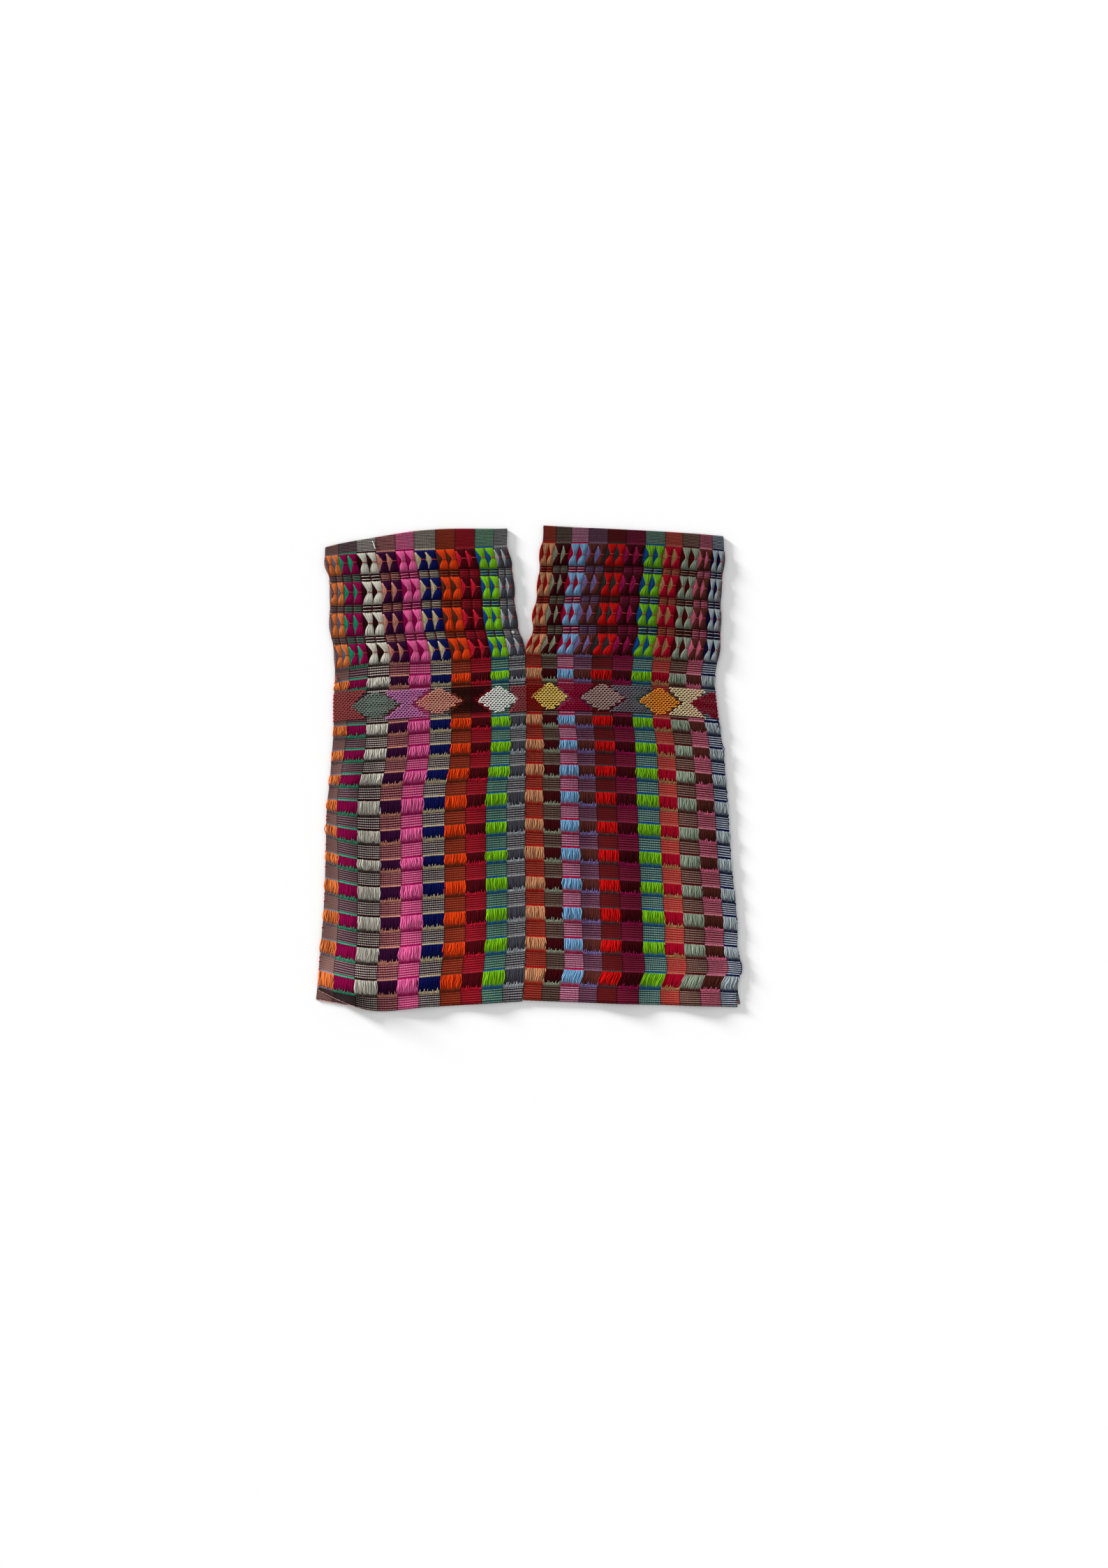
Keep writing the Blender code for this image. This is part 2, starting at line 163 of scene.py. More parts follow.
# Edges of the outline, as (down, across).
LEFT_SIDE = (
    (27, 13), (58, 14), (70, 18), (118, 20), (154, 21), (166, 24), (214, 27), (250, 25), (286, 25),
    (346, 21), (370, 19), (394, 16), (454, 14), (526, 12), (586, 8), (634, 4), (664, 4),
)
LEFT_NECK = (
    (3, 274), (36, 274), (58, 280), (82, 282), (106, 284), (142, 288), (161, 294), (174, 297),
    (181, 299.3),
)
RIGHT_NECK = (
    (0, 325), (10, 325), (46, 321), (82, 318), (106, 315), (130, 310.5), (154, 309.5), (166, 305),
    (174, 302), (181, 299.3),
)
CENTRE_SEAM = (
    (181, 299.3), (196, 299.8), (301, 301), (371, 299.5), (461, 299.3), (541, 300), (631, 299),
    (680, 295.5),
)
RIGHT_SIDE = (
    (14, 583), (46, 584), (94, 579), (130, 579), (178, 577), (214, 571), (262, 574), (310, 581),
    (346, 585), (430, 591), (478, 594), (538, 600), (574, 603), (610, 604), (622, 607.5),
    (634, 609.5), (646, 605), (664, 601.5), (684, 603),
)
CORNERS = {
    "left": ((600, 0), (634, 1.5), (679, 6)),
    "right": ((640, 0), (666, 4), (684, 6)),
}

# How far the stripes of the front sway sideways from their even widths, as (down, sideways).
SWAYS = {
    "left": (
        (196, 0), (270, 1.5), (306, 3), (341, 3.2), (352, 2.6), (371, 0), (541, 0), (591, 1.0),
        (631, -0.4), (645, -0.8), (665, -1.8), (676, 0),
    ),
    "right": (
        (196, 0), (262, 0), (281, -1.6), (300, 0.3), (371, 0), (495, 1.0), (541, 0), (585, 1.7),
        (625, 2.7), (638, 2.6), (660, -0.6), (676, 0),
    ),
}


class Fold(NamedTuple):
    """A soft fold of the front layer: a line, its half width and its rise."""

    top_x: float
    top_y: float
    end_x: float
    end_y: float
    half_width: float
    rise: float


FOLDS = (
    Fold(52, 300, 56, 770, 38, 6),
    Fold(-60, 630, 150, 666, 42, 8),
    Fold(138, 420, 150, 770, 44, 3.5),
    Fold(232, 330, 244, 770, 40, 3),
    Fold(352, 250, 360, 640, 42, 3),
    Fold(432, 400, 436, 770, 50, 4.5),
    Fold(536, 300, 548, 770, 44, 4),
    Fold(96, 40, 120, 290, 60, 2.5),
    Fold(470, 40, 455, 300, 64, 2.5),
)

# What each loom width's colours are multiplied by at levels down the cloth: darker towards the shoulders.
GAIN_LEVELS = (0, 40, 200, 440, 620)
LEVEL_GAINS = {"left": (0.62, 0.66, 0.74, 0.84, 1.0), "right": (0.46, 0.48, 0.64, 0.8, 0.96)}

# How loose the floats are at some sizes of their sideways bulge, and from where they are slack.
SWELLS = (0.3, 0.5, 0.8, 1.2)
SLACKS = (0.15, 0.3, 0.85, 1.0)
SLACK_FROM = 0.5

# The share of a panel's width at each edge over which the sideways sway fades out.
SWAY_EDGE = 0.08

# Each loom width's mean width as cut, in metres, and where its random numbers start.
FLAT_WIDTHS = {"left": 0.288, "right": 0.286}
SEEDS = {"left": 100, "right": 200}

# The surface of dull cotton.
DULL_SPECULAR = 0.05
SHEEN_ROUGHNESS = 0.5


class StripeYarns(NamedTuple):
    """The yarns of one warp stripe, in screen colours from 0 to 255.

    contrast is how strongly the dots of the plain rows show, joined how far they run
    together into lines, banded whether a solid line of the under yarn lies above each
    float, and swell how far the floats bulge sideways, in millimetres.
    """

    name: str
    raised: Colour
    under: Colour
    ground: Colour
    dots: Colour
    contrast: float
    joined: float
    banded: bool
    swell: float

    @property
    def slack(self) -> float:
        """How loose and wavy the floats are: the more they swell, the looser."""
        return float(np.interp(self.swell, SWELLS, SLACKS))

    @property
    def is_slack(self) -> bool:
        """True where the floats are slack and wavy, and not taut."""
        return self.slack > SLACK_FROM

    def light(self, yarn: str, gain: float = 1.0) -> Array:
        """The linear light of the stripe's raised, under, ground or dots yarn."""
        return screen_to_light(getattr(self, yarn), gain)


STRIPE_YARNS = {
    "left": (
        StripeYarns("orange", (226, 123, 63), (122, 122, 138), (124, 90, 84),
                    (152, 118, 112), 0.5, 0.3, True, 1.4),
        StripeYarns("wine", (142, 0, 70), (36, 166, 124), (88, 18, 46),
                    (120, 142, 134), 0.8, 0.6, True, 0.4),
        StripeYarns("cream", (214, 210, 195), (42, 8, 10), (52, 12, 15),
                    (234, 228, 218), 1.0, 0.0, True, 0.8),
        StripeYarns("purple", (54, 6, 50), (216, 146, 124), (80, 12, 34),
                    (218, 154, 148), 0.9, 0.1, True, 0.4),
        StripeYarns("pink", (234, 102, 160), (158, 4, 82), (170, 12, 84),
                    (246, 162, 196), 0.9, 0.1, True, 1.2),
        StripeYarns("navy", (8, 16, 84), (208, 190, 148), (28, 15, 48),
                    (222, 208, 184), 0.88, 0.1, True, 0.4),
        StripeYarns("vermilion", (224, 64, 13), (98, 46, 30), (108, 28, 16),
                    (188, 84, 50), 0.75, 0.3, True, 1.0),
        StripeYarns("maroon", (76, 0, 10), (218, 28, 56), (112, 4, 18),
                    (198, 44, 58), 0.68, 0.6, False, 0.3),
        StripeYarns("lime", (123, 191, 23), (22, 84, 152), (22, 72, 92),
                    (158, 192, 130), 0.9, 0.2, True, 1.0),
        StripeYarns("charcoal", (70, 70, 78), (184, 190, 194), (38, 32, 40),
                    (196, 196, 196), 0.78, 0.1, False, 0.5),
    ),
    "right": (
        StripeYarns("copper", (206, 144, 103), (182, 18, 16), (128, 9, 9),
                    (190, 115, 84), 0.55, 0.3, True, 1.0),
        StripeYarns("dark_wine", (62, 0, 6), (166, 174, 148), (54, 13, 13),
                    (180, 174, 152), 0.4, 0.2, False, 0.3),
        StripeYarns("sky_blue", (124, 174, 214), (190, 6, 58), (134, 10, 60),
                    (224, 192, 214), 0.9, 0.3, True, 1.0),
        StripeYarns("brown", (92, 42, 37), (142, 124, 186), (74, 20, 38),
                    (164, 130, 158), 0.6, 0.4, False, 0.4),
        StripeYarns("red", (198, 11, 11), (62, 56, 56), (88, 16, 20),
                    (128, 36, 36), 0.5, 0.5, True, 1.2),
        StripeYarns("deep_maroon", (64, 0, 10), (168, 22, 86), (86, 4, 28),
                    (170, 54, 92), 0.6, 0.5, False, 0.3),
        StripeYarns("lime", (118, 184, 26), (18, 82, 152), (20, 60, 84),
                    (168, 198, 158), 0.95, 0.1, True, 1.0),
        StripeYarns("crimson", (168, 0, 35), (196, 144, 94), (158, 20, 30),
                    (212, 142, 112), 0.6, 0.3, False, 0.5),
        StripeYarns("sage", (144, 156, 136), (84, 8, 14), (62, 12, 15),
                    (206, 178, 156), 0.58, 0.3, True, 0.8),
        StripeYarns("chestnut", (88, 38, 30), (240, 120, 154), (106, 20, 38),
                    (246, 150, 172), 0.85, 0.5, False, 0.4),
        StripeYarns("pale_blue", (162, 174, 178), (8, 10, 68), (6, 10, 50),
                    (208, 218, 228), 0.8, 0.97, True, 1.0),
    ),
}
BRICK_THREAD: Colour = (136, 46, 34)
CORAL_THREAD: Colour = (228, 92, 84)
NAVY_THREAD: Colour = (12, 14, 58)


def screen_to_light(colour: Colour, gain: float = 1.0) -> Array:
    """Turns a screen colour into linear light.

    Args:
        colour: Red, green and blue from 0 to 255.
        gain: What the light is multiplied by.

    Returns:
        The three linear values.
    """
    share = np.asarray(colour, float) / 255
    light = np.where(share <= 0.04045, share / 12.92, ((share + 0.055) / 1.055) ** 2.4)
    return light * gain


def ease(share: Array) -> Array:
    """A soft step from 0 to 1 as share goes from 0 to 1."""
    t = np.clip(share, 0.0, 1.0)
    return t * t * (3 - 2 * t)


def hermite(place: Array, places: Array, heights: Array) -> Array:
    """The height at each place of a smooth curve, which goes straight on past its ends.

    Args:
        place: Where to read the curve, as one row.
        places: Where its points are.
        heights: Their heights, as one row, or as a row of heights for each point.

    Returns:
        A height for each place.
    """
    places = np.asarray(places, float)
    heights = np.asarray(heights, float)
    slopes = np.gradient(heights, places, axis=0)
    i = np.clip(np.searchsorted(places, place) - 1, 0, len(places) - 2)
    column = np.arange(len(place))

    def at(table: Array, row: Array) -> Array:
        """The table's values in a row for each place."""
        return table[row] if table.ndim == 1 else table[row, column]

    gap = places[i + 1] - places[i]
    t = (place - places[i]) / gap
    inside = (1 + 2 * t) * (1 - t) ** 2 * at(heights, i) + t * (1 - t) ** 2 * gap * at(slopes, i)
    inside += t * t * (3 - 2 * t) * at(heights, i + 1) + t * t * (t - 1) * gap * at(slopes, i + 1)
    before = at(heights, i) + at(slopes, i) * (place - places[i])
    after = at(heights, i + 1) + at(slopes, i + 1) * (place - places[i + 1])
    return np.where(t < 0, before, np.where(t > 1, after, inside))


def along_edge(down: Array, curves: tuple) -> Array:
    """The place across at each distance down of an edge made of curves that follow on downwards."""
    found = hermite(down, *np.array(curves[-1], float).T)
    for curve in reversed(curves[:-1]):
        found = np.where(down <= curve[-1][0], hermite(down, *np.array(curve, float).T), found)
    return found


def placed(across: Array, down: Array, height: Array) -> Array:
    """Points in the row frame, in metres, from places on the blouse in millimetres."""
    x = (across - CENTRE_ACROSS) * MM
    y = (CENTRE_DOWN - down) * MM
    return np.stack(np.broadcast_arrays(x, y, np.asarray(height) * MM), axis=-1)


@dataclass(frozen=True)
class LoomWidth:
    """One loom width of striped cloth: what places a point of it on the laid-out blouse.

    A point is given by its stripe coordinate across, and by its level, which is how far
    down its weft lies along the middle stripe.
    """

    node: str
    side: str
    start_curves: tuple
    end_curves: tuple
    start_inset: float
    end_inset: float

    @property
    def yarns(self) -> tuple[StripeYarns, ...]:
        """The yarns of each stripe."""
        return STRIPE_YARNS[self.side]

    @property
    def count(self) -> int:
        """The number of stripes across."""
        return len(self.yarns)

    @property
    def is_left(self) -> bool:
        """True for the left width, whose side seam is at stripe coordinate 0."""
        return self.side == "left"

    @property
    def slot(self) -> str:
        """The name of the record's material slot for this width's cloth."""
        return self.side + "_cloth"

    @property
    def hem(self) -> float:
        """The hem's level."""
        return HEM_LEVEL[self.side]

    def level_gain(self, level: float) -> float:
        """What the cloth's colours are multiplied by at a level: they are darker towards the shoulders."""
        return float(np.interp(level, GAIN_LEVELS, LEVEL_GAINS[self.side]))

    def limits(self, band: Band) -> tuple[float, float]:
        """The band's top and bottom levels in this width."""
        if self.is_left:
            return band.left_top, band.left_bottom
        return band.right_top, band.right_bottom

    def tied_rows(self) -> list[tuple[float, float]]:
        """The top and bottom levels of the yoke's tied rows."""
        return [self.limits(band) for band in BANDS if band.weave is Weave.TIED]

    def weft_down(self, stripe: Array, level: Array, hem_bow: Bow = FRONT_HEM_BOW) -> Array:
        """How far down a weft lies.

        Args:
            stripe: Stripe coordinates.
            level: The weft's level at each.
            hem_bow: The bow of the hem of the layer that is asked for.

        Returns:
            A distance down for each.
        """
        stripe, level = np.broadcast_arrays(np.asarray(stripe, float), np.asarray(level, float))
        shape = level.shape
        stripe, level = stripe.ravel(), level.ravel()
        bows = BOWS + (hem_bow,)
        levels = [getattr(bow, self.side) for bow in bows]
        places, sags = [], []
        for station, column in STATIONS[self.side]:
            places.append(station)
            known = [getattr(bow, column) if column else 0.0 for bow in bows]
            sags.append(hermite(level, levels, known))
        return (level + hermite(stripe, places, np.stack(sags))).reshape(shape)

    def edges(self, down: Array, back: bool = False) -> tuple[Array, Array]:
        """The places across of both edges.

        Args:
            down: Distances down.
            back: True for the back layer, which lies a little inside the front's edges.

        Returns:
            The start's and the end's place across at each distance.
        """
        start = along_edge(down, self.start_curves) + self.start_inset
        end = along_edge(down, self.end_curves) - self.end_inset
        if not back:
            return start, end
        neck = BACK_INSET * ease((CENTRE_SEAM[0][0] - down) / NECK_INSET_FADE)
        corner = CORNERS[self.side]
        reach = np.maximum(hermite(down, *np.array(corner, float).T), 0) * (down > corner[0][0])
        if self.is_left:
            return start + BACK_INSET - reach, end - neck
        return start + neck, end - BACK_INSET + reach

    def across(self, stripe: Array, down: Array, back: bool = False) -> Array:
        """The place across of points of the cloth.

        Args:
            stripe: Stripe coordinates.
            down: Distances down.
            back: True for the back layer.

        Returns:
            A place across for each.
        """
        stripe, down = np.broadcast_arrays(np.asarray(stripe, float), np.asarray(down, float))
        shape = down.shape
        stripe, down = stripe.ravel(), down.ravel()
        widths = np.array(STRIPE_WIDTHS[self.side], float).T
        borders = np.concatenate([np.zeros((len(widths), 1)), np.cumsum(widths, axis=1)], axis=1)
        k = np.clip(np.searchsorted(STRIPE_LEVELS, down) - 1, 0, len(STRIPE_LEVELS) - 2)
        levels = np.array(STRIPE_LEVELS, float)
        t = np.clip((down - levels[k]) / (levels[k + 1] - levels[k]), 0, 1)
        i = np.clip(stripe.astype(int), 0, self.count - 1)
        f = stripe - i

        def border(column: Array) -> Array:
            """The distance of a border from the width's start, before it is fitted to the edges."""
            return borders[k, column] * (1 - t) + borders[k + 1, column] * t

        share = (border(i) * (1 - f) + border(i + 1) * f) / border(np.full_like(i, self.count))
        start, end = self.edges(down, back)
        found = start + share * (end - start)
        if not back:
            sway = np.interp(down, *np.array(SWAYS[self.side], float).T)
            found = found + sway * ease(share / SWAY_EDGE) * ease((1 - share) / SWAY_EDGE)
        return found.reshape(shape)

    def lift(self, stripe: Array, across: Array, down: Array) -> Array:
        """How high the soft folds raise the front layer.

        Args:
            stripe: Stripe coordinates.
            across: Their places across.
            down: Their distances down.

        Returns:
            A height in millimetres for each, which is 0 at the seams and the shoulder.
        """
        shape = down.shape
        flat_across, flat_down = across.ravel(), down.ravel()
        start, end = self.edges(flat_down)
        shoulder = self.weft_down(stripe, np.full(shape, SHOULDER_LINE)).ravel()
        settled = ease(np.minimum(flat_across - start, end - flat_across) / SEAM_SETTLE)
        settled = settled * ease((flat_down - shoulder) / SHOULDER_SETTLE)
        total = np.zeros(len(flat_down))
        for fold in FOLDS:
            along = np.array([fold.end_x - fold.top_x, fold.end_y - fold.top_y], float)
            length = float(np.hypot(*along))
            along = along / length
            run = (flat_across - fold.top_x) * along[0] + (flat_down - fold.top_y) * along[1]
            aside = np.abs((flat_across - fold.top_x) * along[1] - (flat_down - fold.top_y) * along[0])
            crest = np.cos(np.pi * np.minimum(aside / fold.half_width, 1) / 2) ** 2
            total += fold.rise * crest * ease(run / FOLD_FADE) * ease((length - run) / FOLD_FADE)
        return (settled * total).reshape(shape)

    def front_height(self, stripe: Array, across: Array, down: Array) -> Array:
        """How high the front layer's outer face lies at each place."""
        return BACK_WALL + LAYER_GAP + FRONT_SKIN + self.lift(stripe, across, down)

    def front(
        self, stripe: Array, level: Array, rise: Array, aside: Array = 0.0, along: Array = 0.0
    ) -> Array:
        """Points on the front layer.

        Args:
            stripe: Stripe coordinates.
            level: Levels.
            rise: Heights above the front layer's outer face, in millimetres.
            aside: How far each point is moved sideways.
            along: How far each point is moved down.

        Returns:
            The points, in metres.
        """
        down = self.weft_down(stripe, level) + along
        stripe = np.broadcast_to(stripe, down.shape)
        across = self.across(stripe, down) + aside
        return placed(across, down, self.front_height(stripe, across, down) + rise)

    def back(self, stripe: Array, level: Array, height: Array, aside: Array = 0.0) -> Array:
        """Points of the back layer at heights above the surface that it rests on."""
        down = self.weft_down(stripe, level, BACK_HEM_BOW)
        stripe = np.broadcast_to(stripe, down.shape)
        return placed(self.across(stripe, down, back=True) + aside, down, height)

    def fold(self, stripe: Array, angle: float, radius: float) -> Array:
        """Points round the shoulder fold at an angle above the horizontal."""
        down = self.weft_down(stripe, np.full(len(stripe), SHOULDER_LINE)) + OUTER_FOLD_RADIUS
        front_across = self.across(stripe, down)
        back_across = self.across(stripe, down, back=True)
        across = front_across + (0.5 - angle / math.pi) * (back_across - front_across)
        height = OUTER_FOLD_RADIUS + radius * math.sin(angle)
        return placed(across, down - radius * math.cos(angle), height)

    def stripe_at(self, across: Array, down: Array) -> Array:
        """The stripe coordinate of places on the front layer."""
        borders = np.arange(self.count + 1.0)
        found = np.empty(len(across))
        for i, (x, y) in enumerate(zip(across, down)):
            places = self.across(borders, np.full(self.count + 1, y))
            found[i] = np.interp(x, places, borders)
        return found


WIDTHS = (
    LoomWidth("left_panel", "left", (LEFT_SIDE,), (LEFT_NECK, CENTRE_SEAM), 0.0, CENTRE_SEAM_GAP / 2),
    LoomWidth(
        "right_panel", "right", (RIGHT_NECK, CENTRE_SEAM), (RIGHT_SIDE,), CENTRE_SEAM_GAP / 2, 0.0
    ),
)


@dataclass
class ShaderGraph:
    """The node tree of one material, with short calls that add and join its nodes."""

    material: bpy.types.Material

    @classmethod
    def start(cls, name: str) -> "ShaderGraph":
        """A graph for a new material that holds just its Principled shader and output."""
        material = bpy.data.materials.new(name)
        material.use_nodes = True
        return cls(material)

    @property
    def shader(self) -> bpy.types.Node:
        """The Principled shader."""
        return self.material.node_tree.nodes["Principled BSDF"]

    @property
    def place(self) -> bpy.types.NodeSocket:
        """The object's own coordinates, in metres."""
        return self.node("ShaderNodeTexCoord").outputs["Object"]

    def colours(self, name: str) -> bpy.types.Node:
        """The node that reads a colour attribute of the mesh."""
        return self.node("ShaderNodeAttribute", attribute_name=name)

    def flat_map(self, name: str) -> bpy.types.bpy_prop_collection:
        """The two coordinates of one of the mesh's maps, as sockets."""
        parts = self.node("ShaderNodeSeparateXYZ")
        self.feed(parts.inputs[0], self.node("ShaderNodeUVMap", uv_map=name).outputs[0])
        return parts.outputs

    def node(self, kind: str, **settings: object) -> bpy.types.Node:
        """A new node with its settings made."""
        made = self.material.node_tree.nodes.new(kind)
        for name, value in settings.items():
            setattr(made, name, value)
        return made

    def feed(self, socket: bpy.types.NodeSocket, value: object) -> None:
        """Joins a socket to another socket, or sets its own value."""
        if isinstance(value, bpy.types.NodeSocket):
            self.material.node_tree.links.new(value, socket)
        else:
            socket.default_value = value

    def sum(self, operation: str, *values: object) -> bpy.types.NodeSocket:
        """The result of a Math node."""
        made = self.node("ShaderNodeMath", operation=operation)
        for socket, value in zip(made.inputs, values):
            self.feed(socket, value)
        return made.outputs[0]

    def step(self, value: object, low: float, high: float) -> bpy.types.NodeSocket:
        """A soft step from 0 to 1 between two values."""
        made = self.node("ShaderNodeMapRange", interpolation_type="SMOOTHSTEP")
        for name, given in (("Value", value), ("From Min", low), ("From Max", high)):
            self.feed(made.inputs[name], given)
        return made.outputs[0]

    def noise(self, place: object, scale: float, detail: float = 2.0) -> bpy.types.NodeSocket:
        """A noise value from 0 to 1."""
        made = self.node("ShaderNodeTexNoise")
        self.feed(made.inputs["Vector"], place)
        made.inputs["Scale"].default_value = scale
        made.inputs["Detail"].default_value = detail
        return made.outputs["Fac"]

    def mix(
        self, share: object, first: object, second: object, blend: str = "MIX"
    ) -> bpy.types.NodeSocket:
        """The colour of a Mix node."""
        made = self.node("ShaderNodeMix", data_type="RGBA", blend_type=blend)
        self.feed(made.inputs[0], share)
        self.feed(made.inputs[6], first)
        self.feed(made.inputs[7], second)
        return made.outputs[2]

    def shade(self, colour: object, value: object, low: float, high: float) -> bpy.types.NodeSocket:
        """A colour made darker or lighter as a value goes from 0 to 1."""
        made = self.node("ShaderNodeMapRange")
        self.feed(made.inputs["Value"], value)
        made.inputs["To Min"].default_value = low
        made.inputs["To Max"].default_value = high
        return self.mix(1.0, colour, made.outputs[0], "MULTIPLY")

    def relief(self, height: object, depth: float) -> None:
        """Bump on the shader from a height of 0 to 1 and a depth in metres."""
        made = self.node("ShaderNodeBump")
        made.inputs["Strength"].default_value = 1.0
        made.inputs["Distance"].default_value = depth
        self.feed(made.inputs["Height"], height)
        self.feed(self.shader.inputs["Normal"], made.outputs[0])

    def finish(self, colour: object, roughness: float, sheen: float) -> bpy.types.Material:
        """Sets the colour and the surface of a dull textile, and gives the material."""
        self.feed(self.shader.inputs["Base Color"], colour)
        self.shader.inputs["Roughness"].default_value = roughness
        self.shader.inputs["Specular IOR Level"].default_value = DULL_SPECULAR
        self.shader.inputs["Sheen Weight"].default_value = sheen
        self.shader.inputs["Sheen Roughness"].default_value = SHEEN_ROUGHNESS
        return self.material


@dataclass(frozen=True)
class WovenGround:
    """The plain cloth: rows of small warp dots over a ground, from the mesh's own weave map."""

    dot_from: float = 0.07
    dot_to: float = 0.26
    row_from: float = 0.23
    row_to: float = 0.39
    wander: float = 0.22
    wander_along: float = 1.6
    wander_scale: float = 190.0
    wear_scale: float = 420.0
    wear_least: float = 0.55
    wear_swing: float = 0.9
    patch_scale: float = 34.0
    patch_shades: tuple = (0.8, 1.2)
    fibre_scale: float = 1500.0
    fibre_shades: tuple = (0.72, 1.28)
    fibre_height: float = 0.5
    depth: float = 0.0004
    roughness: float = 0.95
    sheen: float = 0.008

    def material(self, name: str) -> bpy.types.Material:
        """Builds the material.

        Args:
            name: The material's name.

        Returns:
            The material. Its meshes carry the colours "ground" and "dots" and the map "weave".
        """
        graph = ShaderGraph.start(name)
        ground, dots = graph.colours("ground"), graph.colours("dots")
        place, weave = graph.place, graph.flat_map("weave")
        waver = graph.sum("SUBTRACT", graph.noise(place, self.wander_scale), 0.5)
        along = graph.sum("MULTIPLY_ADD", waver, self.wander * self.wander_along, weave[0])
        down = graph.sum("MULTIPLY_ADD", waver, self.wander, weave[1])
        dot = graph.step(graph.sum("PINGPONG", along, 0.5), self.dot_from, self.dot_to)
        dot = graph.sum("MAXIMUM", dot, ground.outputs["Alpha"])
        row = graph.step(graph.sum("PINGPONG", down, 0.5), self.row_from, self.row_to)
        raised = graph.sum("MULTIPLY", dot, row)
        wear = graph.noise(place, self.wear_scale, 1.0)
        worn = graph.sum("MULTIPLY_ADD", wear, self.wear_swing, self.wear_least)
        shown = graph.sum("MULTIPLY", graph.sum("MULTIPLY", raised, dots.outputs["Alpha"]), worn)
        colour = graph.mix(shown, ground.outputs["Color"], dots.outputs["Color"])
        colour = graph.shade(colour, graph.noise(place, self.patch_scale), *self.patch_shades)
        fibre = graph.noise(place, self.fibre_scale, 3.0)
        colour = graph.shade(colour, fibre, *self.fibre_shades)
        graph.relief(graph.sum("MULTIPLY_ADD", fibre, self.fibre_height, raised), self.depth)
        return graph.finish(colour, self.roughness, self.sheen)


@dataclass(frozen=True)
class SpunYarn:
    """Spun cotton yarn: each strand's own colour, with a slack twist and stray fibres. The twist's grooves
    get painted shade and its crests a painted highlight.
    """

    plies: float = 1.0
    twist: float = 0.22
    # shadow and crest multiply the colour in the twist's grooves and on its crests: painted shade and a
    # painted highlight.
    shadow: float = 0.88
    crest: float = 1.12
    fibre_scale: float = 2300.0
    fibre_shades: tuple = (0.78, 1.22)
    fibre_height: float = 0.4
    depth: float = 0.0001
    roughness: float = 0.95
    sheen: float = 0.008

    def material(self, name: str) -> bpy.types.Material:
        """Builds the material.

        Args:
            name: The material's name.

        Returns:
            The material. Its meshes carry the map "strand" and the colour "yarn", whose
            alpha is how strongly the painted ply shade and highlight show.
        """
        graph = ShaderGraph.start(name)
        yarn, strand = graph.colours("yarn"), graph.flat_map("strand")
        round_turn = graph.sum("MULTIPLY", strand[0], self.plies)
        turn = graph.sum("MULTIPLY_ADD", strand[1], self.twist, round_turn)
        ply = graph.sum("MULTIPLY", graph.sum("PINGPONG", turn, 0.5), 2.0)
        fibre = graph.noise(graph.place, self.fibre_scale, 3.0)
        # Painted shade in the ply grooves and a painted highlight on the crests.
        colour = graph.shade(yarn.outputs["Color"], ply, self.shadow, self.crest)
        colour = graph.mix(yarn.outputs["Alpha"], yarn.outputs["Color"], colour)
        colour = graph.shade(colour, fibre, *self.fibre_shades)
        graph.relief(graph.sum("MULTIPLY_ADD", fibre, self.fibre_height, ply), self.depth)
        return graph.finish(colour, self.roughness, self.sheen)


@dataclass(frozen=True)
class PaleFloor:
    """A plain white studio floor with the faintest grain."""

    colour: Colour = (250, 250, 250)
    roughness: float = 0.9
    grain_scale: float = 60.0
    grain_shades: tuple = (0.995, 1.005)

    def material(self, name: str) -> bpy.types.Material:
        """Builds the floor's material."""
        graph = ShaderGraph.start(name)
        light = (*screen_to_light(self.colour), 1.0)
        colour = graph.shade(light, graph.noise(graph.place, self.grain_scale), *self.grain_shades)
        return graph.finish(colour, self.roughness, 0.0)


